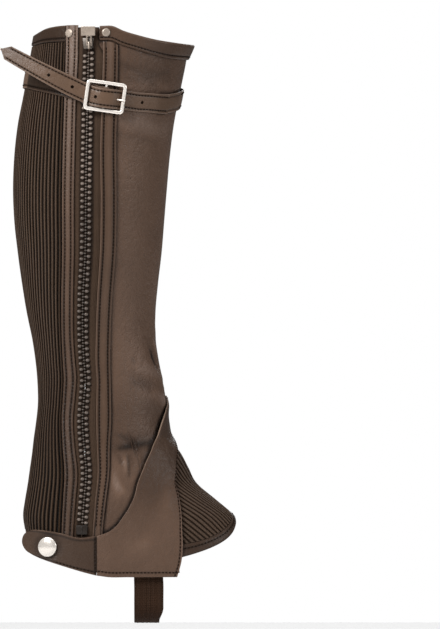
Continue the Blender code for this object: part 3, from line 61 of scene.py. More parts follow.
BODY_COLUMNS = "height back front half_width widest front_taper back_square"
BODY = (
    (132.0, -38.5, 78.0, 56.4, 12.0, 0.04, 2.0),
    (96.5, -45.2, 73.2, 57.0, 8.5, 0.06, 2.0),
    (72.0, -49.4, 68.3, 56.5, 6.0, 0.08, 2.0),
    (48.0, -54.0, 63.7, 55.8, 4.5, 0.10, 2.0),
    (23.5, -56.8, 60.6, 55.0, 3.0, 0.12, 2.0),
    (-1.0, -57.8, 58.4, 54.0, 2.0, 0.13, 2.0),
    (-25.0, -56.8, 56.4, 52.0, 1.0, 0.14, 2.0),
    (-49.5, -54.1, 54.4, 49.2, 0.5, 0.14, 2.0),
    (-73.5, -50.8, 51.6, 45.6, -0.5, 0.13, 2.0),
    (-95.0, -47.3, 49.7, 41.8, -1.0, 0.12, 2.0),
    (-116.5, -42.9, 49.9, 38.8, -1.0, 0.10, 2.0),
    (-131.5, -40.7, 52.1, 38.0, -1.0, 0.08, 2.0),
    (-149.5, -39.1, 55.6, 38.0, -0.8, 0.06, 2.0),
    (-165.0, -38.8, 57.6, 38.4, -0.8, 0.04, 2.0),
    (-180.0, -40.3, 57.2, 39.0, -0.6, 0.02, 2.05),
    (-192.0, -42.0, 60.3, 39.6, -0.4, 0.00, 2.1),
    (-201.5, -43.1, 68.0, 40.2, 0.0, -0.03, 2.15),
    (-213.5, -44.8, 74.4, 40.8, 0.8, -0.06, 2.25),
    (-225.5, -46.4, 80.7, 41.3, 1.6, -0.08, 2.35),
    (-238.0, -48.5, 95.2, 41.8, 2.7, -0.10, 2.45),
    (-250.0, -50.0, 108.9, 42.2, 3.8, -0.10, 2.6),
    (-262.0, -48.4, 115.3, 42.4, 5.2, -0.10, 2.7),
    (-280.5, -47.5, 122.0, 42.5, 6.8, -0.10, 2.8),
    (-305.0, -46.4, 131.0, 42.5, 8.0, -0.10, 2.8),
)
ZIP_COLUMNS = "height line back_outer back_inner front_inner front_outer"
ZIP = (
    (132.0, -0.8, -18.5, -8.0, 10.6, 22.0),
    (104.0, -0.8, -18.0, -8.0, 11.0, 22.2),
    (66.0, -1.6, -17.9, -8.8, 10.6, 22.3),
    (28.0, -2.4, -18.1, -8.9, 10.2, 22.4),
    (-10.0, -3.0, -18.1, -9.0, 11.2, 23.4),
    (-48.0, -3.4, -17.6, -8.6, 11.0, 23.2),
    (-86.0, -5.3, -16.4, -7.4, 10.6, 22.2),
    (-116.0, -5.3, -16.2, -7.2, 9.6, 20.9),
    (-133.0, -4.4, -16.3, -6.8, 8.6, 19.8),
    (-146.0, -3.4, -16.6, -6.8, 8.4, 19.0),
    (-160.0, -4.4, -16.4, -6.9, 9.2, 20.3),
    (-175.5, -5.5, -16.2, -7.2, 10.2, 21.6),
    (-197.0, -4.4, -16.3, -7.2, 9.6, 19.4),
    (-218.0, -2.8, -16.4, -6.6, 8.6, 17.4),
    (-238.0, -4.4, -15.8, -6.5, 8.4, 16.6),
    (-261.0, -6.1, -15.2, -6.5, 8.4, 15.8),
    (-305.0, -6.1, -15.2, -6.5, 8.4, 15.8),
)
RIM_COLUMNS = "reach top low"
RIM = (
    (-50.0, 112.5, 106.3),
    (-43.0, 115.4, 107.3),
    (-35.0, 120.0, 109.2),
    (-27.0, 121.8, 109.8),
    (-20.0, 122.4, 110.0),
    (8.0, 122.0, 111.0),
    (16.0, 122.0, 110.9),
    (24.0, 118.6, 107.6),
    (36.0, 115.0, 104.0),
    (50.0, 111.7, 100.0),
    (60.0, 110.2, 97.9),
    (72.0, 109.0, 97.2),
    (80.0, 108.8, 97.2),
)
INNER_SEAM_COLUMNS = "height reach"
INNER_SEAM = (
    (132.0, -30.0),
    (90.0, -35.5),
    (60.0, -38.0),
    (30.0, -39.4),
    (0.0, -38.9),
    (-30.0, -35.4),
    (-60.0, -28.7),
    (-90.0, -20.5),
    (-116.0, -12.5),
    (-140.0, -6.5),
    (-165.0, -3.0),
    (-190.0, -3.5),
    (-210.0, -5.5),
    (-230.0, -7.8),
    (-255.0, -9.5),
    (-305.0, -9.8),
)
HEEL_COLUMNS = "reach height"
HEEL = (
    (-53.0, -251.5),
    (-50.0, -254.0),
    (-48.5, -259.0),
    (-46.0, -264.5),
    (-42.0, -270.0),
    (-36.0, -275.0),
    (-29.0, -279.5),
    (-20.0, -283.5),
    (-10.0, -286.0),
    (0.0, -287.5),
    (20.0, -288.0),
)
SEAM_COLUMNS = "height angle"
SEAM = (
    (-195.5, 0.0),
    (-199.0, 13.0),
    (-206.0, 25.0),
    (-222.0, 36.5),
    (-236.0, 45.5),
    (-250.0, 52.5),
    (-262.0, 55.0),
    (-273.0, 56.5),
    (-282.0, 58.0),
    (-296.4, 61.0),
)
GUSSET_COLUMNS = "angle ribs_end lower"
GUSSET = (
    (0.0, -246.4, -251.8),
    (5.0, -247.4, -252.8),
    (10.0, -250.0, -255.8),
    (20.0, -255.6, -262.3),
    (32.0, -262.3, -269.5),
    (42.0, -267.0, -274.7),
    (50.0, -270.0, -278.4),
    (57.0, -271.6, -281.4),
)
OVERLAY_FREE = (
    (5.4, -265.0),
    (12.9, -262.6),
    (19.5, -258.0),
    (25.0, -250.8),
    (29.9, -243.2),
    (34.0, -233.7),
    (38.0, -219.6),
    (42.6, -208.0),
    (46.4, -199.1),
    (49.4, -191.0),
    (52.0, -181.0),
)
OVERLAY_TIP = ((14.0, -171.0), (4.0, -163.0), (-8.0, -158.8))
OVERLAY_SEWN = ((-13.0, -168.0), (-14.0, -180.0), (-8.0, -190.0))
OVERLAY_HEM_LINE = ((5.4, -295.2), (12.9, -296.2), (30.0, -296.4), (66.0, -296.4))
TAB_UPPER = (
    (5.1, -265.0),
    (-8.0, -266.4),
    (-22.0, -263.0),
    (-33.0, -261.2),
    (-41.0, -260.4),
    (-44.0, -260.6),
)
TAB_LOWER = (
    (5.1, -295.2),
    (-2.0, -293.4),
    (-22.0, -287.4),
    (-31.0, -284.5),
    (-38.0, -281.9),
    (-42.5, -279.8),
)
TAB_END = ((-42.5, -279.8), (-48.6, -275.6), (-51.2, -269.4), (-49.2, -263.4), (-44.0, -260.6))
TAB_DEPTH_COLUMNS = "reach side"
TAB_DEPTH = (
    (-52.0, -29.6),
    (-46.0, -32.9),
    (-40.0, -35.9),
    (-31.5, -39.5),
    (-25.0, -41.8),
    (-15.0, -44.2),
    (-5.0, -45.1),
    (6.0, -45.0),
)
RIM_HEIGHT, HEEL_LEVEL, PANEL_HEM, SEAM_CORNER = 110.0, -265.0, -295.2, 58.5
INNER_CORNER_RISE = 3.2
BAND_FLARE, BAND_LIP = 3.2, 2.2
RIB_COUNT, GUSSET_RIBS = 34, 20

# About how wide and long the walls are, for the rounding of their edges.
PANEL_SPAN, PANEL_LENGTH = 300.0, 395.0
ELASTIC_LENGTH, FACING_LENGTH = 380.0, 400.0
OVERLAY_SPAN, OVERLAY_RISE = 150.0, 70.0
TAB_SPAN, TAB_RISE = 56.0, 24.0
TAPE_WIDTH, TAPE_LENGTH = 10.0, 395.0

# How thick the walls are, how far out some stand, and how far inside an edge its stitches run.
PANEL_WALL, FACING_OUT, FACING_IN = 1.5, 1.8, 0.5
OVERLAY_LEATHER, OVERLAY_OVER_ZIP, OVERLAY_OVER_PANEL = 1.4, 2.2, 0.95
GUSSET_INNER, BINDING_OUT = -1.3, 0.7
FACING_SEAM, STRAP_SEAM, TAIL_SEAM, TAB_SEAM = 2.3, 2.3, 2.2, 2.1
OVERLAY_FRONT_SEAM, OVERLAY_HEM_SEAM = 2.2, 3.5
THREAD_OUT = 1.42

# The knitted elastic's own map in metres: a rib's width, and the lengths of the panel and the gusset.
MAP_RIB, MAP_PANEL, MAP_GUSSET = 0.0034, 0.38, 0.06

SNAP_REACH, SNAP_HEIGHT, SNAP_RADIUS, SNAP_RISE = -31.5, -273.4, 7.5, 2.2
RIVETS = (("rivet_back", -14.7, 116.4), ("rivet_front", 12.4, 117.0))
RIVET_RADIUS, RIVET_RISE = 3.2, 1.3
TAPE_LOW, TAPE_TOP = -274.0, 121.0
TEETH_LOW, TEETH_TOP, TOOTH_PITCH, TOOTH_OUT = -255.0, 103.5, 4.4, 0.35
BOX_TOP, BOX_BOTTOM = -256.8, -264.2
SLIDER_HEIGHT = 108.6
BAIL = (1.3, -1.6, 4.2)
PULL_HINGE, PULL_LEAN = (1.3, -1.6, 4.3), 6.5

# The straps and the buckle ------------------------------------------

BAND_PATH = (
    (-40.0, 63.2, 0.5),
    (-33.0, 63.4, 0.6),
    (-14.0, 65.6, 1.2),
    (0.0, 67.6, 1.6),
    (30.0, 70.0, 1.6),
    (60.0, 72.2, 1.4),
    (90.0, 74.2, 1.4),
    (120.0, 76.4, 1.6),
    (150.0, 80.2, 1.8),
    (180.0, 82.3, 1.8),
    (200.0, 82.0, 1.8),
    (215.0, 80.4, 1.8),
    (235.0, 77.4, 1.9),
    (248.0, 74.6, 2.2),
    (260.0, 72.0, 2.2),
    (268.0, 70.2, 2.2),
)
STRAP_WIDTH, STRAP_LEATHER = 14.8, 1.2
BUCKLE_REACH, BUCKLE_HEIGHT, BUCKLE_TILT = 11.2, 68.4, 8.2
BUCKLE_LENGTH, BUCKLE_WIDTH, BUCKLE_BAR, BUCKLE_THICK, BUCKLE_CORNER = 31.0, 23.6, 3.0, 2.2, 3.2
BUCKLE_BORDER, BUCKLE_ROUNDING = 2.6, 0.7
BUCKLE_OUT, BUCKLE_MIDDLE_BAR, BUCKLE_MIDDLE_OUT = 3.8, 0.8, 4.4
TAIL_ON_LEG = ((57.3, 63.3, 2.2), (50.0, 63.6, 2.2), (44.0, 64.0, 1.5), (36.0, 64.4, 1.4))
TAIL_IN_BUCKLE = ((18.0, -0.6), (12.0, -0.8), (5.0, -1.0), (-2.0, -1.2), (-9.0, -0.9), (-16.0, 0.9))
TAIL_FREE = ((-12.7, -60.2, 75.4), (-30.6, -59.0, 84.4), (-48.0, -54.5, 93.7), (-67.6, -46.6, 104.7))
TAIL_TIP, TAIL_NARROWING = 6.6, 4.0
TAIL_RISE_COLUMNS = "along out"
TAIL_RISE = (
    (-22.0, 2.2),
    (-18.0, 2.35),
    (-15.5, 2.65),
    (-14.0, 2.75),
    (-12.5, 2.85),
    (-11.4, 3.3),
    (-9.5, 4.5),
    (-7.0, 6.1),
    (-4.0, 7.2),
    (-1.5, 7.5),
    (1.5, 7.5),
    (4.5, 7.1),
    (7.5, 5.9),
    (9.5, 4.5),
    (11.0, 3.3),
    (12.4, 2.6),
    (14.0, 2.1),
    (15.5, 1.6),
    (18.5, 0.1),
    (22.0, -1.9),
)
HOLE_SPACING, PRONG_HOLE, PRONG_ACROSS, PRONG_WIRE = 20.0, 11.4, -0.9, 1.2
UNDER_BACK, UNDER_FRONT, UNDER_LOW, UNDER_TURN, UNDER_LAP = 33.6, 55.6, -330.4, 16.0, 14.0
UNDER_WIDTH, UNDER_HALF, UNDER_LENGTH, UNDER_CORD = 22.0, 0.75, 150.0, 2.75

# Creases as in the part's source, then finer wrinkles for the looks alone: ends in the side view, side (1 is
# the outer one), half width and rise.
CREASES = (
    (33.4, -145.0, 53.0, -156.0, 1, 4.5, -1.0),
    (38.0, -135.0, 54.5, -146.0, 1, 4.5, 0.9),
    (44.5, -118.0, 51.5, -136.0, 1, 5.0, -0.9),
    (21.0, -198.5, 46.0, -193.5, 1, 6.0, -1.3),
    (28.0, -206.0, 31.0, -219.0, 1, 6.5, 1.2),
    (24.0, 52.5, 56.0, 45.0, 1, 8.0, 1.1),
    (23.0, 90.0, 57.0, 84.0, 1, 6.0, -0.8),
    (30.0, -142.0, 52.0, -152.0, -1, 5.0, -1.2),
    (36.0, -128.0, 51.5, -140.0, -1, 5.0, 0.9),
    (12.0, -196.0, 44.0, -188.0, -1, 7.0, -1.3),
    (20.0, 50.0, 52.0, 46.0, -1, 8.0, 1.0),
)
WRINKLES = (
    (33.0, -132.0, 56.0, -149.5, 1, 1.7, -0.7),
    (36.0, -139.0, 56.0, -153.0, 1, 1.5, 0.5),
    (34.0, -149.0, 57.0, -160.5, 1, 1.6, -0.65),
    (39.0, -157.5, 57.0, -166.0, 1, 2.0, 0.3),
    (46.5, -124.0, 50.5, -137.0, 1, 1.6, -0.9),
    (48.0, -116.0, 51.0, -128.0, 1, 1.6, 0.6),
    (49.0, -104.0, 50.2, -114.0, 1, 1.8, 0.3),
    (24.0, 94.0, 50.0, 77.0, 1, 2.0, -0.35),
    (30.0, 87.0, 58.0, 75.5, 1, 2.0, 0.35),
    (30.0, 80.0, 60.0, 88.0, 1, 2.2, -0.25),
    (26.0, 55.0, 52.0, 49.5, 1, 2.2, -0.3),
    (23.0, 40.0, 50.0, 34.0, 1, 3.0, -0.3),
    (20.0, -188.0, 34.0, -193.0, 1, 2.0, -0.35),
    (22.0, -205.0, 27.0, -214.0, 1, 2.0, -0.4),
    (31.0, -204.0, 33.0, -216.0, 1, 2.0, -0.35),
    (22.0, -226.0, 27.0, -234.0, 1, 2.4, 0.35),
    (23.0, -198.5, 47.0, -194.0, 1, 1.9, -0.8),
    (28.8, -205.0, 30.0, -220.0, 1, 1.6, -0.8),
    (26.2, -206.0, 27.4, -216.0, 1, 1.7, 0.6),
    (18.5, -206.0, 20.5, -236.0, 1, 4.0, 0.3),
    (50.0, -157.0, 58.0, -165.0, 1, 5.0, 0.8),
    (18.0, -219.0, 22.0, -233.0, 1, 3.0, 0.4),
    (60.0, -226.0, 56.0, -250.0, 1, 6.0, 0.5),
    (50.0, -268.0, 34.0, -276.0, 1, 6.0, 0.4),
    (34.0, -128.0, 54.0, -146.0, -1, 1.8, -0.45),
    (36.0, -146.0, 55.0, -158.0, -1, 1.8, 0.35),
    (22.0, 92.0, 52.0, 78.0, -1, 2.2, -0.35),
    (40.0, -224.0, 58.0, -242.0, -1, 4.5, 0.5),
    (16.0, -200.0, 44.0, -196.0, -1, 2.4, -0.4),
)


def smooth(places, values, at):
    """A curve through the values, with the slope at each of the parabola through it and its neighbours."""
    steps = np.diff(places)
    rises = np.diff(values) / steps
    slopes = np.concatenate([rises[:1], rises, rises[-1:]])[: len(values)]
    slopes[1:-1] = (rises[:-1] * steps[1:] + rises[1:] * steps[:-1]) / (steps[1:] + steps[:-1])
    slopes[-1] = rises[-1]
    at = np.clip(at, places[0], places[-1])
    i = np.clip(np.searchsorted(places, at) - 1, 0, len(steps) - 1)
    t = (at - places[i]) / steps[i]
    bend_a = slopes[i] * steps[i] - (values[i + 1] - values[i])
    bend_b = (values[i + 1] - values[i]) - slopes[i + 1] * steps[i]
    straight = values[i] * (1 - t) + values[i + 1] * t
    return straight + t * (1 - t) * (bend_a * (1 - t) + bend_b * t)


class Rows:
    """A short table with named columns, read as smooth curves over its first column."""

    def __init__(self, columns, rows):
        table = np.array(sorted(rows), float)
        self.columns = dict(zip(columns.split(), table.T))
        self.places = table[:, 0]

    def __call__(self, column, at):
        return smooth(self.places, self.columns[column], np.asarray(at, float))


def curve_through(points, count):
    """Points evenly spaced by number along a smooth curve through the given ones."""
    points = np.array(points, float)
    steps = np.linalg.norm(np.diff(points, axis=0), axis=1)
    places = np.concatenate([[0.0], np.cumsum(steps)]) / steps.sum()
    at = np.linspace(0.0, 1.0, count)
    return np.stack([smooth(places, column, at) for column in points.T], axis=1)


body = Rows(BODY_COLUMNS, BODY)
zip_rows = Rows(ZIP_COLUMNS, ZIP)
rim = Rows(RIM_COLUMNS, RIM)
inner_seam_row = Rows(INNER_SEAM_COLUMNS, INNER_SEAM)
heel = Rows(HEEL_COLUMNS, HEEL)
seam = Rows(SEAM_COLUMNS, SEAM)
gusset_edges = Rows(GUSSET_COLUMNS, GUSSET)
tab_depth = Rows(TAB_DEPTH_COLUMNS, TAB_DEPTH)
tail_rise = Rows(TAIL_RISE_COLUMNS, TAIL_RISE)


def ramp(at, start, end):
    """A smooth step from 0 at start to 1 at end."""
    t = np.clip((np.asarray(at, float) - start) / (end - start), 0.0, 1.0)
    return t * t * (3 - 2 * t)


def unit(rows):
    """Directions of length 1."""
    return rows / np.linalg.norm(rows, axis=-1, keepdims=True)


def bell(away, width):
    """A share of 1 at 0, about a third at this width away and nothing much from twice as far."""
    return np.exp(-((away / width) ** 2))


def lengths_along(points):
    """How far along a row of points each of them lies."""
    return np.concatenate([[0.0], np.cumsum(np.linalg.norm(np.diff(points, axis=0), axis=1))])


def read_rows(at, places, rows):
    """Rows of values at these places, read at others on the straight lines between them."""
    return np.stack([np.interp(at, places, column) for column in rows.T], axis=-1)


def leg_point(angle, height):
    """The point of the plain leg surface at an angle round the leg and a height."""
    angle, height = np.broadcast_arrays(np.asarray(angle, float), np.asarray(height, float))
    forward, side = np.cos(np.radians(angle)), np.sin(np.radians(angle))
    square = np.where(forward > 0, 1.0, 2.0 / body("back_square", height))
    forward = np.sign(forward) * np.abs(forward) ** square
    side = np.sign(side) * np.abs(side) ** square
    widest = body("widest", height)
    reach = np.where(forward > 0, body("front", height) - widest, widest - body("back", height))
    narrowing = np.where(forward > 0, body("front_taper", height), 0.0) * forward**2
    across = -body("half_width", height) * side * (1 - narrowing)
    return np.stack([widest + reach * forward, across, height], -1)


def leg_normal(angle, height):
    """The outward direction of the plain leg surface."""
    angle, height = np.asarray(angle, float), np.asarray(height, float)
    across = leg_point(angle + 0.5, height) - leg_point(angle - 0.5, height)
    upward = leg_point(angle, height + 0.5) - leg_point(angle, height - 0.5)
    return unit(np.cross(upward, across))


def angle_at(reach, height, side=1):
    """The angle at which the leg surface has this reach, on the outer side (1) or the inner one (-1)."""
    widest = body("widest", height)
    ahead = np.asarray(reach, float) - widest
    length = np.where(ahead > 0, body("front", height) - widest, widest - body("back", height))
    share = np.clip(ahead / length, -1.0, 1.0)
    square = np.where(share > 0, 1.0, body("back_square", height) / 2.0)
    return side * np.degrees(np.arccos(np.sign(share) * np.abs(share) ** square))


def crease_rise(points, rows):
    """How far the creases lift or sink the leather at points of the leg surface."""
    total = np.zeros(points.shape[:-1])
    for reach_a, height_a, reach_b, height_b, side, half_width, rise in rows:
        start = leg_point(angle_at(reach_a, height_a, side), height_a)
        along = leg_point(angle_at(reach_b, height_b, side), height_b) - start
        share = np.clip(((points - start) @ along) / (along @ along), 0.0, 1.0)
        away = np.linalg.norm(points - start - share[..., None] * along, axis=-1)
        fade = 0.35 + 0.65 * np.sin(math.pi * np.clip(share, 0.08, 0.92))
        total += rise * fade * bell(away, half_width)
    return total


def garment_point(angle, height, out):
    """The point of a layer that stands this far out from the leg, creases and wrinkles included."""
    points = leg_point(angle, height)
    plain = np.broadcast_to(np.asarray(out, float), points.shape[:-1])
    out = plain + crease_rise(points, CREASES + WRINKLES)
    return points + leg_normal(angle, height) * out[..., None]


def girth_of(height):
    """How far round the leg from the zip line each angle lies at a height. Towards the front is positive."""
    start = float(angle_at(zip_rows("line", height), height))
    angles = start + np.linspace(-120.0, 260.0, 1141)
    length = lengths_along(leg_point(angles, height))
    return np.interp(start, angles, length) - length, angles


GIRTH_HEIGHTS = np.linspace(-304.0, 131.0, 350)
GIRTHS = [girth_of(height) for height in GIRTH_HEIGHTS]


def edge_line(distance_of):
    """A line down the leg: the angle at each height, for an edge given by its distance from the zip line."""
    distances = np.broadcast_to(distance_of(GIRTH_HEIGHTS), GIRTH_HEIGHTS.shape)
    line = [np.interp(-far, -girth, angles) for far, (girth, angles) in zip(distances, GIRTHS)]
    return lambda at: np.interp(at, GIRTH_HEIGHTS, line)


def zip_side(column, further=0.0):
    """The line down the leg along an edge of a zip facing, moved towards the front by so much."""
    return edge_line(lambda z: zip_rows(column, z) + further)


def rim_line(column, further=0.0):
    """The height of the top band's edge at each angle."""
    return lambda angle: rim(column, leg_point(angle, RIM_HEIGHT)[..., 0]) + further


def level(height):
    """An edge round the leg that keeps to one height."""
    return lambda angle: np.full(np.shape(angle), float(height))


def heel_edge(angle):
    """The height of the back panel's lower edge at each angle."""
    return heel("height", leg_point(angle, HEEL_LEVEL)[..., 0])


seam_angle = 360.0 - angle_at(inner_seam_row("reach", GIRTH_HEIGHTS), GIRTH_HEIGHTS)
SEAM_DISTANCE = np.array([np.interp(at, angles, girth) for at, (girth, angles) in zip(seam_angle, GIRTHS)])


def rib_line(ribs, clear=0.3):
    """The line down the leg that lies this many ribs behind the zip facing."""
    first = zip_rows("back_outer", GIRTH_HEIGHTS) - clear
    return edge_line(lambda z: first + (SEAM_DISTANCE + 0.35 - first) * ribs / RIB_COUNT)


zip_middle = edge_line(lambda z: 0.0)
inner_seam_back = edge_line(lambda z: SEAM_DISTANCE - 0.35)


def inner_seam(height, further=0.0):
    """The line where the front panel meets the back one on the inner side, as an angle round the front."""
    return inner_seam_back(height) - 360.0 + further


def seam_height(angle):
    """The lower edge of the front panel: the gusset seam round the instep, then the hem."""
    angle = np.abs(np.asarray(angle, float))
    fine = np.linspace(seam.places[0], seam.places[-1], 200)
    angles = seam("angle", fine)
    order = np.argsort(angles)
    over_instep = np.interp(angle, angles[order], fine[order])
    return np.where(angle < SEAM_CORNER, np.maximum(over_instep, PANEL_HEM), PANEL_HEM)


def panel_bottom(angle):
    """The same edge, a millimetre clear of the gusset. On the inner side it rises a little towards
    the back, as the tab does on the outer one."""
    clear = np.tanh(np.asarray(angle, float) / 6.0)
    edge = np.maximum(seam_height(angle - clear) + 0.8, PANEL_HEM)
    reach = leg_point(angle, PANEL_HEM)[..., 0]
    return edge + INNER_CORNER_RISE * ramp(-reach, -4.0, 10.0) * (np.asarray(angle) < 0)


def overlay_out(angle, height):
    """How far the inner face of the overlay stands out: over the zip facings more than over the panel."""
    reach = leg_point(angle, height)[..., 0]
    step_down = (OVERLAY_OVER_PANEL - OVERLAY_OVER_ZIP) * ramp(reach, 13.0, 27.0)
    over_facing = (OVERLAY_OVER_ZIP + step_down) * (np.asarray(angle) > 0)
    over_tip = ramp(height, -208.0, -188.0) - 1.6 * ramp(height, -182.0, -162.0)
    return np.maximum(over_facing, OVERLAY_OVER_PANEL) + over_tip


def side_points(rows, side=1):
    """(angle, height) points from points given in the side view."""
    rows = np.array(rows, float)
    return np.stack([angle_at(rows[:, 0], rows[:, 1], side), rows[:, 1]], axis=1)


# Grids --------------------------------------------------------------


def panel_grid(left, right, bottom, top, across, upward):
    """Angles and heights of a panel between two lines down the leg and two edges round it."""
    across, upward = np.meshgrid(across, upward)
    height = np.full(across.shape, -100.0)
    for _ in range(30):
        angle = left(height) * (1 - across) + right(height) * across
        height = bottom(angle) * (1 - upward) + top(angle) * upward
    return angle, height


def lines_grid(lines, bottom, top, upward):
    """Angles and heights of a panel whose columns follow the given lines down the leg."""
    upward = np.asarray(upward, float)[:, None]
    height = np.full((len(upward), len(lines)), -100.0)
    for _ in range(14):
        angle = np.stack([line(height[:, i]) for i, line in enumerate(lines)], axis=1)
        height = bottom(angle) * (1 - upward) + top(angle) * upward
    return angle, height


def four_sided(left, right, bottom, top, across, upward):
    """Points inside four edges that meet at the corners, as a grid."""
    u, v = np.meshgrid(across, upward)
    u, v = u[..., None], v[..., None]
    sides = left[:, None] * (1 - u) + right[:, None] * u
    ends = bottom[None] * (1 - v) + top[None] * v
    corners = (bottom[0] * (1 - u) + bottom[-1] * u) * (1 - v) + (top[0] * (1 - u) + top[-1] * u) * v
    grid = sides + ends - corners
    return grid[..., 0], grid[..., 1]


def evened(grid, rounds=400):
    """A grid with the same four edges, whose lines keep apart inside them however much the edges bend."""
    grid = np.stack(grid)
    for _ in range(rounds):
        up, down = grid[:, 2:, 1:-1], grid[:, :-2, 1:-1]
        right, left = grid[:, 1:-1, 2:], grid[:, 1:-1, :-2]
        along, rise = (right - left) / 2, (up - down) / 2
        twist = (grid[:, 2:, 2:] - grid[:, 2:, :-2] - grid[:, :-2, 2:] + grid[:, :-2, :-2]) / 4
        steep, lean, wide = (rise**2).sum(0), (along * rise).sum(0), (along**2).sum(0)
        balance = steep * (left + right) + wide * (up + down) - 2 * lean * twist
        grid[:, 1:-1, 1:-1] = balance / (2 * (steep + wide))
    return grid[0], grid[1]


def finer(part, across, upward):
    """A grid of values read at more places, on smooth curves through them."""
    rows, columns = (np.linspace(0, 1, count) for count in part.shape)
    wide = np.stack([smooth(columns, row, across) for row in part])
    return np.stack([smooth(rows, column, upward) for column in wide.T], axis=1)


def near_line(points, line, reach):
    """A share from 1 on a line, given as a row of points, to 0 well over its reach away."""
    flat = points.reshape(-1, 3)
    nearest = np.full(len(flat), 1e9)
    for spot in line:
        nearest = np.minimum(nearest, ((flat - spot) ** 2).sum(axis=1))
    return np.exp(-nearest.reshape(points.shape[:-1]) / reach**2)


def shares(count, size, extra=()):
    """Shares from 0 to 1 of a width or length in millimetres, close together at both ends, so that an
    edge can be rounded, and at extra places so far inside each end."""
    near = np.array([0.08, 0.2, 0.4, 0.7]) / size
    more = np.array([place / size for place in extra])
    every = np.concatenate([np.linspace(0, 1, count), near, 1 - near, more, 1 - more])
    return np.unique(every.clip(0, 1).round(7))


def inside_edges(share, width):
    """How far inside the nearer edge of a strip a share of its width lies."""
    return np.minimum(share, 1 - share) * width


def edge_drop(away, radius):
    """How far a rounded edge draws in at this distance inside it."""
    near = np.clip(1 - away / radius, 0, 1)
    return radius * (1 - np.sqrt(1 - near**2))


def rounding(across, width, upward, length, radius=0.45):
    """How far a wall's face draws in towards its middle near its four edges."""
    beside, above = inside_edges(across, width), inside_edges(upward, length)
    return edge_drop(np.minimum(beside[None, :], above[:, None]), radius)


def channel(place, width, at, depth=0.28):
    """A sewn channel on both sides of a strip, at so many millimetres inside each edge."""
    return -depth * bell(inside_edges(place, width) - at, 0.65)


def mesh_piece(name, points, faces, finish, tone=None):
    """A smooth mesh of points in metres, in its finish, which tone lightens or darkens at each point."""
    mesh = bpy.data.meshes.new(name)
    mesh.from_pydata(points.tolist(), [], faces)
    mesh.materials.append(material(finish))
    if tone is not None:
        values = tone.ravel().astype(np.float32)
        mesh.attributes.new("tone", "FLOAT", "POINT").data.foreach_set("value", values)
    mesh.shade_smooth()
    obj = bpy.data.objects.new(name, mesh)
    bpy.context.scene.collection.objects.link(obj)
    return obj


def shell(name, outer, inner, finish, slot, nodes, tone=None, texture=None, edge_finish=None):
    """A closed wall between an outer grid of points and an inner one, in millimetres, riding on the
    root body. tone lightens or darkens its finish point by point, and texture is its UV map."""
    rows, columns = outer.shape[:2]
    points = np.concatenate([outer.reshape(-1, 3), inner.reshape(-1, 3)]) * MM
    front = np.arange(rows * columns).reshape(rows, columns)
    back = front + rows * columns
    quads = [np.stack([front[:-1, :-1], front[:-1, 1:], front[1:, 1:], front[1:, :-1]], -1).reshape(-1, 4)]
    quads.append(np.stack([back[:-1, :-1], back[1:, :-1], back[1:, 1:], back[:-1, 1:]], -1).reshape(-1, 4))
    sheet_faces = sum(len(part) for part in quads)
    around = np.concatenate([front[0, :-1], front[:-1, -1], front[-1, :0:-1], front[:0:-1, 0]])
    following = np.roll(around, -1)
    quads.append(np.stack([following, around, around + rows * columns, following + rows * columns], -1))
    quads = np.concatenate(quads)
    corners = points[quads]
    if np.einsum("ij,ij->", corners[:, 0], np.cross(corners[:, 1], corners[:, 2])) < 0:
        quads = quads[:, ::-1]
    if tone is not None:
        tone = np.concatenate([np.broadcast_to(tone, (rows, columns))] * 2)
    obj = mesh_piece(name, points, quads.tolist(), finish, tone)
    if edge_finish:
        obj.data.materials.append(material(edge_finish))
        picks = np.zeros(len(quads), np.int32)
        picks[sheet_faces:] = 1
        obj.data.polygons.foreach_set("material_index", picks)
    if texture is not None:
        flat = np.concatenate([texture.reshape(-1, 2)] * 2).astype(np.float32)
        layer = obj.data.uv_layers.new(name="cloth")
        layer.data.foreach_set("uv", flat[quads.reshape(-1)].reshape(-1))
    obj.data.set_sharp_from_angle(angle=math.radians(50))
    return fit(obj, nodes)


def fit(obj, nodes=(), on="root"):
    """Lets a finished piece ride on its body and stand for its CAD nodes."""
    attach(obj, on)
    if nodes:
        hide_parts(*nodes)
    return obj


def size_of(plain):
    """A cloth piece's flat width, length and area in metres, from a plain grid of points on it."""
    plain = np.asarray(plain) * MM
    width = np.linalg.norm(np.diff(plain, axis=1), axis=-1).sum(axis=1).max()
    length = np.linalg.norm(np.diff(plain, axis=0), axis=-1).sum(axis=0).max()
    a, b = np.diff(plain, axis=0)[:, :-1], np.diff(plain, axis=1)[:-1]
    area = np.linalg.norm(np.cross(a, b), axis=-1).sum()
    return (float(max(width, 0.0101)), float(max(length, 0.0101))), float(area)


def cut_sheet(obj, plain):
    """States the cut of a cloth piece, measured on its inner face."""
    flat, area = size_of(plain)
    area = min(max(area, 0.301 * flat[0] * flat[1]), flat[0] * flat[1])
    print(f"cut {obj.name}: {flat[0] * 1000:.0f} x {flat[1] * 1000:.0f} mm, {area * 1e4:.1f} square cm")


# Finishes -----------------------------------------------------------


# The wave texture's scale at which one wave is one unit long.
ONE_WAVE = 0.314


def wire_up(tree, kind, inputs=None, **settings):
    """Adds a shader node. An input is a plain value or another node's output."""
    made = tree.nodes.new(kind)
    for key, value in settings.items():
        setattr(made, key, value)
    for key, value in (inputs or {}).items():
        if isinstance(value, bpy.types.NodeSocket):
            tree.links.new(value, made.inputs[key])
        else:
            made.inputs[key].default_value = value
    return made


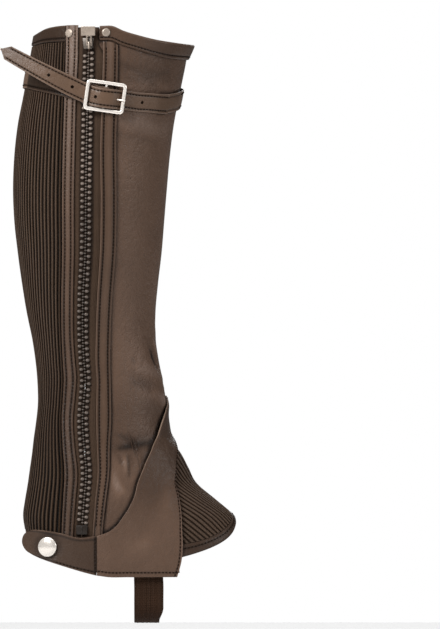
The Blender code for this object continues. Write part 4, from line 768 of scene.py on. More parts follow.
def blank_finish(name, colour, roughness, metallic=0.0, specular=0.5):
    """A plain finish, with its node tree and its shader."""
    made = bpy.data.materials.new(name)
    made.use_nodes = True
    shader = made.node_tree.nodes["Principled BSDF"]
    shader.inputs["Base Color"].default_value = (*colour, 1.0)
    shader.inputs["Roughness"].default_value = roughness
    shader.inputs["Metallic"].default_value = metallic
    shader.inputs["Specular IOR Level"].default_value = specular
    return made, made.node_tree, shader


def maths(tree, operation, first, second):
    """One sum in a node tree."""
    return wire_up(tree, "ShaderNodeMath", {0: first, 1: second}, operation=operation).outputs[0]


def tinted(colour, gain):
    """A colour made lighter or darker, with its alpha."""
    return tuple(min(c * gain, 1.0) for c in colour) + (1.0,)


def mixed_colour(tree, share, first, second):
    """Goes from one colour to another, each a plain value or a node's output, as the share rises to 1."""
    made = wire_up(tree, "ShaderNodeMix", data_type="RGBA", clamp_factor=True)
    tree.links.new(share, made.inputs["Factor"])
    for socket, colour in ((made.inputs[6], first), (made.inputs[7], second)):
        if isinstance(colour, bpy.types.NodeSocket):
            tree.links.new(colour, socket)
        else:
            socket.default_value = colour
    return made.outputs[2]


def toned(tree, colour, varied, light, dark):
    """A colour that varies a little over the piece, lighter where tone is above 0 and darker below."""
    grey = sum(colour) / 3
    # The pale colour is greyed like a sheen, as it carries painted highlight as well as lighter edges.
    pale = tinted([c * 0.6 + grey * 0.4 for c in colour], light)
    tone = wire_up(tree, "ShaderNodeAttribute", attribute_name="tone").outputs["Fac"]
    down = maths(tree, "MAXIMUM", maths(tree, "MULTIPLY", tone, -1.0), 0.0)
    own = mixed_colour(tree, varied, tinted(colour, 0.76), tinted(colour, 1.24))
    lit = mixed_colour(tree, maths(tree, "MAXIMUM", tone, 0.0), own, pale)
    return mixed_colour(tree, down, lit, tinted(colour, dark))


def leather_finish(name, colour, roughness, grain, depth, uneven_depth=0.0009):
    """Waxed leather: pebbled grain, a fine unevenness, patchy colour, lighter edges, and the painted
    highlight on crests and painted shade in hollows that the tone attribute carries.
    """
    made, tree, shader = blank_finish(name, colour, roughness, specular=0.17)
    place = wire_up(tree, "ShaderNodeTexCoord").outputs["Object"]
    patches = wire_up(tree, "ShaderNodeTexNoise", {"Vector": place, "Scale": 38.0, "Detail": 5.0})
    seeds = {"Vector": place, "Scale": 1 / grain}
    pebbles = wire_up(tree, "ShaderNodeTexVoronoi", seeds, feature="SMOOTH_F1")
    uneven = wire_up(tree, "ShaderNodeTexNoise", {"Vector": place, "Scale": 260.0, "Detail": 4.0})
    low = {"Height": uneven.outputs["Fac"], "Strength": 0.8, "Distance": uneven_depth}
    soft = wire_up(tree, "ShaderNodeBump", low)
    high = {"Height": pebbles.outputs["Distance"], "Strength": 0.8, "Distance": depth}
    high["Normal"] = soft.outputs[0]
    grained = wire_up(tree, "ShaderNodeBump", high, invert=True)
    gloss = {"Value": uneven.outputs["Fac"], "From Min": 0.3, "From Max": 0.7}
    gloss.update({"To Min": roughness - 0.06, "To Max": roughness + 0.08})
    spread = wire_up(tree, "ShaderNodeMapRange", gloss)
    tree.links.new(spread.outputs[0], shader.inputs["Roughness"])
    tree.links.new(grained.outputs[0], shader.inputs["Normal"])
    tree.links.new(toned(tree, colour, patches.outputs["Fac"], 2.4, 0.15), shader.inputs["Base Color"])
    return made


def woven_finish(name, colour, roughness, across, along, depth, light=1.6, dark=0.25):
    """Cloth on its own UV map in metres: rows of knit across, and yarns along."""
    made, tree, shader = blank_finish(name, colour, roughness, specular=0.06)
    flat = wire_up(tree, "ShaderNodeUVMap", uv_map="cloth").outputs[0]
    courses = {"Vector": flat, "Scale": ONE_WAVE / along, "Distortion": 1.2}
    courses.update({"Detail": 2.0, "Detail Scale": 3.0})
    rows = wire_up(tree, "ShaderNodeTexWave", courses, bands_direction="Y")
    twists = {"Vector": flat, "Scale": ONE_WAVE / across, "Distortion": 0.8, "Detail": 1.0}
    yarns = wire_up(tree, "ShaderNodeTexWave", twists, bands_direction="X")
    weave = maths(tree, "ADD", rows.outputs["Fac"], yarns.outputs["Fac"])
    bump = wire_up(tree, "ShaderNodeBump", {"Height": weave, "Strength": 0.8, "Distance": depth})
    place = wire_up(tree, "ShaderNodeTexCoord").outputs["Object"]
    patches = wire_up(tree, "ShaderNodeTexNoise", {"Vector": place, "Scale": 70.0, "Detail": 6.0})
    varied = maths(tree, "ADD", maths(tree, "MULTIPLY", weave, 0.25), patches.outputs["Fac"])
    varied = maths(tree, "SUBTRACT", varied, 0.25)
    tree.links.new(bump.outputs[0], shader.inputs["Normal"])
    tree.links.new(toned(tree, colour, varied, light, dark), shader.inputs["Base Color"])
    shader.inputs["Sheen Weight"].default_value = 0.03
    shader.inputs["Sheen Roughness"].default_value = 0.4
    return made


def moulded_finish(name, colour, roughness):
    """Glossy moulded plastic, its crowns made lighter by painted highlight."""
    made, tree, shader = blank_finish(name, colour, roughness, specular=0.3)
    place = wire_up(tree, "ShaderNodeTexCoord").outputs["Object"]
    patches = wire_up(tree, "ShaderNodeTexNoise", {"Vector": place, "Scale": 90.0, "Detail": 3.0})
    tree.links.new(toned(tree, colour, patches.outputs["Fac"], 14.0, 0.3), shader.inputs["Base Color"])
    return made


def speckled_finish(name, colour, roughness, metallic, spot, vary, bump_depth, specular=0.5):
    """Metal, plastic or thread with a faint unevenness of colour and gloss."""
    made, tree, shader = blank_finish(name, colour, roughness, metallic, specular)
    place = wire_up(tree, "ShaderNodeTexCoord").outputs["Object"]
    spots = wire_up(tree, "ShaderNodeTexNoise", {"Vector": place, "Scale": 1 / spot, "Detail": 5.0})
    spotted = spots.outputs["Fac"]
    own = mixed_colour(tree, spotted, tinted(colour, 1 - vary), tinted(colour, 1 + vary))
    gloss = {"Value": spotted, "To Min": roughness * 0.75, "To Max": roughness * 1.3}
    spread = wire_up(tree, "ShaderNodeMapRange", gloss)
    bump = wire_up(tree, "ShaderNodeBump", {"Height": spotted, "Strength": 0.4, "Distance": bump_depth})
    tree.links.new(own, shader.inputs["Base Color"])
    tree.links.new(spread.outputs[0], shader.inputs["Roughness"])
    tree.links.new(bump.outputs[0], shader.inputs["Normal"])
    return made


def material(name):
    """The finish of this name, made on first use from the colours in the sidebar."""
    own = f"half_chap_{name}"
    found = bpy.data.materials.get(own)
    if found:
        return found
    chosen = bpy.context.scene.half_chap_colours
    fine = chosen.grain * 0.8
    dull_bronze = [c * 0.3 for c in chosen.bronze]
    dull_nickel = [c * 0.72 for c in chosen.nickel]
    makers = {
        "leather": (leather_finish, chosen.leather, 0.40, chosen.grain, 0.0003),
        "strap_leather": (leather_finish, chosen.strap, 0.38, fine, 0.0002, 0.0004),
        "leather_trim": (leather_finish, chosen.trim, 0.38, fine, 0.0002, 0.0005),
        "cut_edge": (leather_finish, chosen.cut_edge, 0.7, 0.0006, 0.0002),
        "elastic": (woven_finish, chosen.elastic, 0.62, 0.0011, 0.0012, 0.0003, 3.4, 0.1),
        "webbing": (woven_finish, chosen.webbing, 0.75, 0.0016, 0.0012, 0.0003),
        "zip_tape": (woven_finish, chosen.tape, 0.7, 0.0009, 0.0009, 0.00015),
        "thread": (speckled_finish, chosen.thread, 0.7, 0.0, 0.0004, 0.25, 0.00005, 0.03),
        "zip_plastic": (moulded_finish, chosen.plastic, 0.36),
        "bronze": (speckled_finish, chosen.bronze, 0.34, 0.4, 0.0012, 0.15, 0.00004),
        "slider_body": (speckled_finish, dull_bronze, 0.36, 0.3, 0.0012, 0.2, 0.00004),
        "cap_nickel": (speckled_finish, dull_nickel, 0.22, 0.5, 0.003, 0.04, 0.00001),
        "nickel": (speckled_finish, chosen.nickel, 0.2, 0.5, 0.003, 0.04, 0.00001),
    }
    make, colour, *values = makers[name]
    return make(own, tuple(colour), *values)


# Stitches -----------------------------------------------------------


def one_shape(make):
    """The points and faces of a small shape that a maker function leaves as the active object."""
    bpy.ops.object.select_all(action="DESELECT")
    make()
    obj = bpy.context.active_object
    bpy.ops.object.transform_apply(location=True, rotation=True, scale=True)
    points = np.array([v.co for v in obj.data.vertices])
    faces = [tuple(p.vertices) for p in obj.data.polygons]
    bpy.data.objects.remove(obj)
    return points, faces


def copies(name, shape, places, finish, on="root", nodes=(), tone=None):
    """One mesh of many copies of a small shape in metres. A place is a centre in millimetres and three
    directions, one a column. tone lightens or darkens the shape's points, at all places or each."""
    points, faces = shape
    centres = np.array([place[0] for place in places]) * MM
    turns = np.array([place[1] for place in places])
    moved = np.einsum("nij,pj->npi", turns, points) + centres[:, None]
    count = len(points)
    made = [tuple(v + i * count for v in face) for i in range(len(places)) for face in faces]
    if tone is not None:
        tone = np.broadcast_to(tone, (len(places), count))
    return fit(mesh_piece(name, moved.reshape(-1, 3), made, finish, tone), nodes, on)


def sew(name, lines):
    """Stitches along lines, each given as points and outward directions in millimetres."""
    chosen = bpy.context.scene.half_chap_sewing

    def thread_loop():
        bpy.ops.mesh.primitive_uv_sphere_add(segments=8, ring_count=6, radius=0.5)
        size = (chosen.stitch_length * 0.8, chosen.thread * 1.3, chosen.thread)
        bpy.ops.transform.resize(value=size)

    places = []
    for points, out in lines:
        far = lengths_along(points)
        count = max(int(far[-1] / (chosen.stitch_length / MM)), 1)
        middles = (np.arange(count) + 0.5) * far[-1] / count
        for at in middles:
            along = unit(read_rows(at + 0.6, far, points) - read_rows(at - 0.6, far, points))
            side = unit(np.cross(read_rows(at, far, out), along))
            turn = np.stack([along, side, np.cross(along, side)], axis=1)
            places.append((read_rows(at, far, points), turn))
    return copies(name, one_shape(thread_loop), places, "thread")


def line_down(line, bottom, top, out, count=260):
    """Points and outward directions on a layer along a line down the leg."""
    height = np.linspace(bottom, top, count)
    return garment_point(line(height), height, out), leg_normal(line(height), height)


def line_round(first, last, height_of, out):
    """Points and outward directions on a layer along a line round the leg."""
    angle = np.linspace(first, last, 260)
    return garment_point(angle, height_of(angle), out), leg_normal(angle, height_of(angle))


# Leather and elastic ------------------------------------------------


def flat_map(rows, columns, width, length):
    """A UV map in metres for a strip of this size in millimetres."""
    u, v = np.meshgrid(columns * width * MM, rows * length * MM)
    return np.stack([u, v], axis=-1)


def build_front_panel():
    """The leather panel, with its seam on the inner side."""
    across, upward = shares(190, PANEL_SPAN), shares(210, PANEL_LENGTH)
    top = rim_line("low", BAND_LIP - 0.6)
    grid = panel_grid(zip_side("front_inner", 3.1), inner_seam, panel_bottom, top, across, upward)
    drop = rounding(across, PANEL_SPAN, upward, PANEL_LENGTH)
    plain = leg_point(*grid)
    # Painted highlight on the ridges of the creases and wrinkles, and painted shade in their troughs.
    painted_light_and_tone = crease_rise(plain, WRINKLES) + crease_rise(plain, CREASES) * 0.35
    # Painted shadow on the panel along the overlay's free edge.
    painted_light_and_tone -= 1.1 * near_line(plain, leg_point(*overlay_edges(160, 3)[3].T), 2.0)
    # Painted shade on the panel along both edges of the calf strap.
    strap_rows = curve_through(BAND_PATH, 300)
    for edge in (-1, 1):
        beside = leg_point(-strap_rows[:, 0], strap_rows[:, 1] + edge * STRAP_WIDTH / 2)
        painted_light_and_tone -= 0.9 * near_line(plain, beside, 1.3)
    # Painted shade on the panel beside the outer edge of the front zip facing.
    heights = np.linspace(PANEL_HEM, 115.0, 600)
    painted_light_and_tone -= near_line(plain, leg_point(zip_side("front_outer")(heights), heights), 1.1)
    # Painted shade on the panel along its top, under the top band.
    painted_light_and_tone -= 0.9 * near_line(plain, plain[-1], 1.6)
    # Darker above the strap and over the lowest part.
    painted_light_and_tone -= 0.22 * ramp(plain[..., 2], 72.0, 84.0) + 0.32 * ramp(-plain[..., 2], 140.0, 175.0)
    outer, inner = garment_point(*grid, -drop), garment_point(*grid, drop - PANEL_WALL)
    panel = shell("front_panel_leather", outer, inner, "leather", "leather", ["front_panel"], tone=painted_light_and_tone)
    seam_stitches = line_down(lambda z: inner_seam(z, 3.0), PANEL_HEM + 4, 100.0, 0.05)
    hem_start = float(inner_seam(PANEL_HEM + 3, 4.0))
    hem_line = line_round(hem_start, -64.0, lambda a: panel_bottom(a) + 2.6, 0.05)
    threads = sew("front_panel_stitches", [seam_stitches, hem_line])
    cut_sheet(panel, inner)


def rib_map(ribs, upward, length):
    """A UV map in metres for ribbed cloth, by its place in ribs across and its share of the length."""
    u, v = np.meshgrid(ribs * MAP_RIB, upward * length)
    return np.stack([u, v], axis=-1)


def rib_profile(share):
    """The height of a rounded rib over its pitch, from 0 in the groove to 1 on its crest."""
    return np.abs(np.sin(math.pi * share)) ** 0.6


def build_back_elastic():
    """The ribbed elastic panel and its flat edge under the zip facing."""
    upward = shares(150, ELASTIC_LENGTH)
    step = 9
    samples = RIB_COUNT * step
    lines = [zip_side("back_inner", -3.1), zip_side("back_outer", 0.6)]
    lines += [rib_line(sample / step) for sample in range(samples + 1)]
    grid = lines_grid(lines, heel_edge, rim_line("low", -0.4), upward)
    place = np.concatenate([[0.0, 0.0], np.arange(samples + 1) / step])
    crest = rib_profile(place)
    crest[:2] = 0.0
    ends = rounding(np.array([0.5]), 100.0, upward, ELASTIC_LENGTH)
    waver = 0.05 * np.sin(place * 5.1 + grid[1] * 0.09) * crest
    rise = bpy.context.scene.half_chap_sizes.rib_rise / MM * crest[None] - ends + waver
    outer, inner = garment_point(*grid, rise), garment_point(*grid, -PANEL_WALL)
    texture = rib_map(place, upward, MAP_PANEL)
    # Painted highlight on the rib crests and painted shade in the grooves, painted shade along both seams,
    # and crests darker lower down as painted shade.
    seam_shade = 0.9 * bell(place, 0.7) + 0.9 * bell(RIB_COUNT - place, 0.7)
    lower = 0.3 * ramp(-grid[1], 110.0, 200.0) * crest[None]
    tone = (2.0 * crest**5 - 1.0 - seam_shade)[None] - lower
    names = ["back_elastic_panel"]
    panel = shell("back_elastic_ribs", outer, inner, "elastic", "elastic", names, tone=tone, texture=texture)
    bind_lines = [rib_line(k * RIB_COUNT / 60.0, clear=0.6) for k in range(61)]
    rows = np.array([0.0, 0.1, 0.3, 0.7, 0.9, 1.0])
    grid = lines_grid(bind_lines, lambda a: heel_edge(a) - 3.0, lambda a: heel_edge(a) - 0.5, rows)
    soft = np.array([0.7, 0.25, 0.0, 0.0, 0.25, 0.6])[:, None]
    outer, inside = garment_point(*grid, 0.9 - soft), garment_point(*grid, -PANEL_WALL)
    names = ["heel_binding"]
    binding = shell("heel_binding_leather", outer, inside, "leather_trim", "leather_trim", names)
    cut_sheet(panel, inner)


def facing(name, left, right, bottom, top, node, width, ends, faded):
    """A zip facing: a folded leather strip with a sewn channel inside each edge."""
    across = shares(9, width, extra=(1.2, 1.8, FACING_SEAM, 2.8, 3.4))
    upward = shares(240, FACING_LENGTH)
    grid = panel_grid(left(0.0), right(0.0), bottom, top, across, upward)
    drop = rounding(across, width, upward, FACING_LENGTH, radius=0.6)
    dip = channel(across, width, FACING_SEAM)[None]
    ridge = 0.5 * bell(inside_edges(across, width), 0.7)
    crown = 0.35 * bell((across - 0.5) * width, 2.2)
    # Painted shade in the sewn channels, painted highlight on the rolled edges and on the crown, and painted
    # light by height: darker low down, lighter towards the top.
    tone = dip * 2.9 + ridge + crown + np.interp(grid[1], (-170.0, -60.0, 40.0, 110.0), faded)
    outer = garment_point(*grid, FACING_OUT - drop + dip)
    inner = garment_point(*grid, FACING_IN + drop * 0.6)
    strip = shell(name, outer, inner, "leather_trim", "leather_trim", [node], tone=tone)
    seams = left(FACING_SEAM), right(-FACING_SEAM)
    lines = [line_down(seam_line, *ends, 1.72, 400) for seam_line in seams]
    return strip, sew(f"{name}_stitches", lines), inner


def build_zip_facings():
    """The rolled leather strips on both sides of the zip."""
    back = facing(
        "zip_facing_back_leather",
        lambda d: zip_side("back_outer", d),
        lambda d: zip_side("back_inner", d),
        lambda a: heel_edge(a) - 1.0,
        rim_line("top"),
        "zip_facing_back",
        9.2,
        (-262.0, 119.0),
        # Painted light by height for the back facing: darker low down, lighter at the top.
        (-0.6, -0.3, 0.05, 0.35),
    )
    front = facing(
        "zip_facing_front_leather",
        lambda d: zip_side("front_inner", d),
        lambda d: zip_side("front_outer", d),
        level(PANEL_HEM + 2.2),
        rim_line("low", -1.2),
        "zip_facing_front",
        12.0,
        (-258.0, 106.0),
        # Painted light by height for the front facing: darker low down, a little lighter at the top.
        (-0.35, -0.3, -0.25, -0.1),
    )
    for strip, threads, inner in (back, front):
        cut_sheet(strip, inner)


def band(name, left, right, columns, lip, node):
    """A length of the band that binds the top edge, turned out towards the front."""
    low, high = rim_line("low"), rim_line("top")
    upward = np.concatenate(
        [[0.0, 0.02, 0.05, 0.1, 0.16, 0.2, 0.24, 0.3], [0.45, 0.6, 0.75, 0.86, 0.92, 0.96, 0.985, 1.0]]
    )
    across = shares(columns, 3.0 * columns)
    grid = panel_grid(left, right, low, high, across, upward)
    flare = BAND_FLARE * np.clip(np.cos(np.radians(grid[0])), 0, 1) ** 1.5 * upward[:, None]
    lower_edge = 0.9 * np.clip((0.05 - upward) / 0.05, 0, 1) ** 2
    upper_edge = 1.1 * np.clip((upward - 0.86) / 0.14, 0, 1) ** 2.5
    soft = lower_edge + upper_edge
    dip = 0.3 * bell(upward - 0.2, 0.05)
    outer = garment_point(*grid, (FACING_OUT - soft - dip)[:, None] + flare)
    inside = np.where(upward > 0.9, -0.6, -1.2)
    if lip:
        inside = np.where(upward <= 0.205, 0.4, inside)
    inner = garment_point(*grid, inside[:, None] + flare)
    # Lighter along the top fold, painted shade in the sewn channel, and darker all over, the back length more
    # so.
    plain = 0.5 * ramp(upward, 0.85, 0.95) - dip * 2.4 - (0.2 if lip else 0.7)
    tone = np.broadcast_to(plain[:, None], grid[0].shape)
    piece = shell(name, outer, inner, "leather_trim", "leather_trim", [node], tone=tone)
    row = 5
    angle, height = grid[0][row], grid[1][row]
    line = garment_point(angle, height, 1.6 + flare[row]), leg_normal(angle, height)
    threads = sew(f"{name}_stitches", [line])
    cut_sheet(piece, inner)


def build_top_bands():
    """The band round the top edge, in a length before the zip and one behind it."""
    front, back = zip_side("front_inner", -2.2), zip_side("back_outer", -0.3)
    band("top_band_front_leather", front, inner_seam, 110, True, "top_band_front")
    band("top_band_back_leather", back, rib_line(RIB_COUNT), 70, False, "top_band_back")


def overlay_edges(columns, rows):
    """The four edges of the overlay: the tab joint, the front edge, the hem and the free edge."""
    free = np.concatenate([side_points(OVERLAY_FREE), OVERLAY_TIP])
    top = curve_through(free, columns)
    hem = curve_through(side_points(OVERLAY_HEM_LINE), columns)
    seam_line = np.stack([seam.columns["angle"], seam.places], axis=1) - [0.8, 0.0]
    sewn = np.array(OVERLAY_SEWN[::-1])
    front = np.concatenate([seam_line[:-1], sewn, top[-1:]])
    front[0] = hem[-1]
    joint = np.linspace(hem[0], top[0], rows)
    return joint, curve_through(front, rows), hem, top


def inset_line(angle, height, inside):
    """A line on the overlay that runs parallel to the first row of its grid, so far inside it."""
    columns = []
    for a, h in zip(angle.T, height.T):
        far = lengths_along(leg_point(a, h))
        if far[-1] > inside * 1.5:
            columns.append((np.interp(inside, far, a), np.interp(inside, far, h)))
    a, h = np.array(columns).T
    return garment_point(a, h, overlay_out(a, h) + THREAD_OUT), leg_normal(a, h)


def build_overlay():
    """The leather overlay round the ankle: cut edges and stitching inside them, along the front and the hem.
    """
    across, upward = shares(110, OVERLAY_SPAN), shares(130, OVERLAY_RISE)
    columns, rows = 56, 66
    edges = overlay_edges(columns, rows)
    coarse = evened(four_sided(*edges, np.linspace(0, 1, columns), np.linspace(0, 1, rows)))
    grid = tuple(finer(part, across, upward) for part in coarse)
    drop = rounding(across, OVERLAY_SPAN, upward, OVERLAY_RISE, radius=0.35)
    out = overlay_out(*grid)
    plain = leg_point(*grid)
    away_top = np.linalg.norm(plain[-1][None] - plain, axis=-1)
    swell = 0.45 * bell(away_top - 5.0, 3.0)
    # Painted highlight and painted shade from the wrinkles' rise, and a lighter line along the free edge.
    painted_light_and_tone = crease_rise(plain, WRINKLES) * 0.5 + 0.5 * bell(away_top, 0.7)
    # Darker all over, more so over the upper part.
    painted_light_and_tone -= 0.16 + 0.4 * ramp(plain[..., 2], -262.0, -225.0)
    away_front = np.linalg.norm(plain[:, -1:] - plain, axis=-1)
    # Painted highlight on the rolled ridge of the front edge, and painted shade in the groove of its stitch
    # line.
    painted_light_and_tone += 0.6 * bell(away_front, 0.8) - 0.4 * bell(away_front - OVERLAY_FRONT_SEAM, 0.8)
    away_hem = np.linalg.norm(plain[:1] - plain, axis=-1)
    # Painted shade in the groove of the hem's stitch line.
    painted_light_and_tone -= 0.4 * bell(away_hem - OVERLAY_HEM_SEAM, 0.9)
    outer = garment_point(*grid, out + OVERLAY_LEATHER - drop + swell * 0.4)
    inner = garment_point(*grid, out + drop * 0.6)
    name, names = "ankle_overlay_leather", ["ankle_overlay"]
    piece = shell(name, outer, inner, "leather", "leather", names, tone=painted_light_and_tone, edge_finish="cut_edge")
    from_front = (part.T[::-1] for part in grid)
    lines = [inset_line(*from_front, OVERLAY_FRONT_SEAM), inset_line(*grid, OVERLAY_HEM_SEAM)]
    threads = sew("ankle_overlay_stitches", lines)
    cut_sheet(piece, inner)


def build_tab():
    """The closing tab, with a cut edge, sewn to the overlay and along its lower edge."""
    across, upward = shares(80, TAB_SPAN), shares(40, TAB_RISE)
    bottom, top, end = (curve_through(rows, 200) for rows in (TAB_LOWER, TAB_UPPER, TAB_END))
    joint = np.linspace(bottom[0], top[0], 200)
    even = np.linspace(0, 1, 200)
    sides = [read_rows(upward, even, line) for line in (joint, end)]
    ends = [read_rows(across, even, line) for line in (bottom, top)]
    reach, height = four_sided(*sides, *ends, across, upward)
    middle = np.stack([reach, tab_depth("side", reach), height], axis=-1)
    slope = tab_depth("side", reach + 1.0) - tab_depth("side", reach - 1.0)
    facing_out = unit(np.stack([slope / 2, -np.ones(slope.shape), np.zeros(slope.shape)], axis=-1))
    drop = rounding(across, TAB_SPAN, upward, TAB_RISE, radius=0.35)
    from_snap = np.hypot(reach - SNAP_REACH, height - SNAP_HEIGHT)
    pinch = 0.45 * bell(from_snap - 8.5, 2.6)
    outer = middle + facing_out * (OVERLAY_LEATHER - drop - pinch * (drop < 0.01))[..., None]
    inner = middle + facing_out * (drop * 0.6)[..., None]
    inside = inside_edges(upward[:, None], TAB_RISE)
    # Lighter along the edges, painted shade in a line inside both long edges, where the lower one is
    # stitched, painted shade in the dimple round the snap, and painted shade over the whole tab.
    tone = 0.4 * bell(inside, 0.7) - 0.4 * bell(inside - TAB_SEAM, 0.8) - pinch * 0.5 - 0.5
    # Painted shade in the groove of the stitch line down the joint.
    tone = tone - 0.6 * bell(across[None] * TAB_SPAN - 1.2, 0.9)
    name, trim, names = "overlay_tab_leather", "leather_trim", ["overlay_tab"]
    piece = shell(name, outer, inner, trim, trim, names, tone=tone, edge_finish="cut_edge")
    route = tab_route(TAB_SEAM / TAB_RISE)
    spots = [read_grid(middle[..., i], across, upward, *route.T) for i in range(3)]
    out = [read_grid(facing_out[..., i], across, upward, *route.T) for i in range(3)]
    out = unit(np.stack(out, axis=1))
    threads = sew("overlay_tab_stitches", [(np.stack(spots, axis=1) + out * THREAD_OUT, out)])
    cut_sheet(piece, inner)


def read_grid(values, across, upward, u, v):
    """Reads a grid between its points, at shares along and up it."""
    i = np.clip(np.searchsorted(across, u) - 1, 0, len(across) - 2)
    j = np.clip(np.searchsorted(upward, v) - 1, 0, len(upward) - 2)
    a = (u - across[i]) / (across[i + 1] - across[i])
    b = (v - upward[j]) / (upward[j + 1] - upward[j])
    low = values[j, i] * (1 - a) + values[j, i + 1] * a
    return low * (1 - b) + (values[j + 1, i] * (1 - a) + values[j + 1, i + 1] * a) * b


def tab_route(v):
    """Places in the tab, as shares along and up it, down its joint and along its lower edge."""
    route = [(0.022, w) for w in np.linspace(0.97, v, 26)]
    route += [(u, v) for u in np.linspace(0.04, 0.62, 60)]
    return np.array(route)


def gusset_line(places, column):
    """Points along the ribs' end or the lower edge of the gusset, from the inner side to the outer one."""
    angle = gusset_edges.places[-1] * places
    return np.stack([angle, gusset_edges(column, np.abs(angle))], axis=1)


def gusset_seam_line(places):
    """Points along the seam above the gusset, from the inner side to the outer one."""
    top, low = SEAM[0][0], gusset_edges.columns["ribs_end"][-1] + 1.2
    height = top + (low - top) * np.abs(places)
    fine = np.linspace(seam.places[0], seam.places[-1], 200)
    angle = np.interp(-height, -fine[::-1], seam("angle", fine)[::-1])
    return np.stack([np.sign(places) * angle, height], axis=1)


def build_gusset():
    """The ribbed gusset on the instep, and the plain binding along its lower edge."""
    step = 9
    samples = step * GUSSET_RIBS
    places = np.arange(-samples, samples + 1) / samples
    upward = np.linspace(0, 1, 46)
    seam_line, end_line = gusset_seam_line(places), gusset_line(places, "ribs_end")
    sides = [np.linspace(seam_line[i], end_line[i], len(upward)) for i in (0, -1)]
    grid = four_sided(*sides, seam_line, end_line, (places + 1) / 2, upward)
    crest = rib_profile(np.arange(2 * samples + 1) / step)
    outer = garment_point(*grid, -0.4 + 0.9 * crest[None])
    inner = garment_point(*grid, GUSSET_INNER)
    texture = rib_map(np.arange(2 * samples + 1) / step, upward, MAP_GUSSET)
    # Painted highlight on the rib crests and painted shade in the grooves.
    tone = (2.3 * crest**2 - 1.0)[None]
    names = ["instep_gusset"]
    gusset = shell("instep_gusset_ribs", outer, inner, "elastic", "elastic", names, tone, texture)
    places = np.linspace(-1, 1, 150)
    end_line, lower = gusset_line(places, "ribs_end"), gusset_line(places, "lower")
    end_line[:, 1] -= 0.4
    rows = np.array([0.0, 0.04, 0.1, 0.2, 0.35, 0.5, 0.65, 0.8, 0.9, 0.96, 1.0])
    sides = [lower[i] + (end_line[i] - lower[i]) * rows[:, None] for i in (0, -1)]
    grid = four_sided(*sides, lower, end_line, (places + 1) / 2, rows)
    soft = 0.8 * np.clip(1 - rows / 0.2, 0, 1) ** 2 + 0.5 * np.clip((rows - 0.8) / 0.2, 0, 1) ** 2
    dip = 0.2 * bell(rows - 0.62, 0.1)
    outer = garment_point(*grid, (BINDING_OUT - soft - dip)[:, None])
    inside = garment_point(*grid, GUSSET_INNER)
    # Darker all over, with painted shade in the sewn groove.
    tone = np.broadcast_to((-0.6 - dip * 1.5)[:, None], grid[0].shape)
    names = ["gusset_binding"]
    binding = shell("gusset_binding_leather", outer, inside, "leather_trim", "leather_trim", names, tone=tone)
    angle, height = grid[0][6], grid[1][6]
    line = garment_point(angle, height, 0.62), leg_normal(angle, height)
    threads = sew("gusset_binding_stitches", [line])
    cut_sheet(gusset, inner)


# Straps -------------------------------------------------------------


def frames_along(path, out):
    """Unit directions across a strap and out of its face, for a path and a rough outward direction."""
    along = unit(np.gradient(path, axis=0))
    across = unit(np.cross(out, along))
    return across, np.cross(along, across)


def buckle_place():
    """The buckle's own place: its middle, and its directions along the strap, across it and outwards."""
    angle = float(angle_at(BUCKLE_REACH, BUCKLE_HEIGHT))
    middle, out = leg_point(angle, BUCKLE_HEIGHT), leg_normal(angle, BUCKLE_HEIGHT)
    tilt = math.radians(BUCKLE_TILT)
    along = np.array([math.cos(tilt), 0.0, -math.sin(tilt)])
    along = unit(along - out * (along @ out))
    across = np.cross(along, -out)
    return middle, along, across if across[2] > 0 else -across, out


def in_buckle(rows):
    """Points from rows of places along the strap, across it and outwards from the buckle's middle."""
    middle, along, across, out = buckle_place()
    rows = np.array(rows, float)
    return middle + rows[:, :1] * along + rows[:, 1:2] * across + rows[:, 2:] * out


def strap_wall(path, across, facing, shade):
    """The calf strap along a path, with a sewn channel inside each edge, and its stitches' lines."""
    places = shares(9, STRAP_WIDTH, extra=(1.1, 1.5, 1.9, STRAP_SEAM, 2.8))
    away = inside_edges(places, STRAP_WIDTH)
    drop = edge_drop(away, 0.45)
    dip = channel(places, STRAP_WIDTH, STRAP_SEAM)
    crown = 0.25 * (1 - (2 * places - 1) ** 2)
    half = STRAP_LEATHER / 2
    flat = path[:, None] + across[:, None] * ((places - 0.5)[None, :, None] * STRAP_WIDTH)
    outer = flat + facing[:, None] * (half - drop + dip + crown - 0.2)[None, :, None]
    inner = flat - facing[:, None] * (half - drop)[None, :, None]
    # Painted shade in the sewn channels, lighter near the edges, and the painted shadow passed in as shade.
    tone = np.broadcast_to(dip * 2.2 + 0.4 * bell(away, 0.7), flat.shape[:2]) + shade[:, None]
    name, names = "calf_strap_leather", ["calf_strap_band"]
    look = {"tone": tone, "edge_finish": "cut_edge"}
    strap = shell(name, outer, inner, "strap_leather", "leather", names, **look)
    beside = across * (STRAP_WIDTH / 2 - STRAP_SEAM)
    lines = [path + beside * sign + facing * (half - 0.12) for sign in (-1, 1)]
    return strap, lines, inner


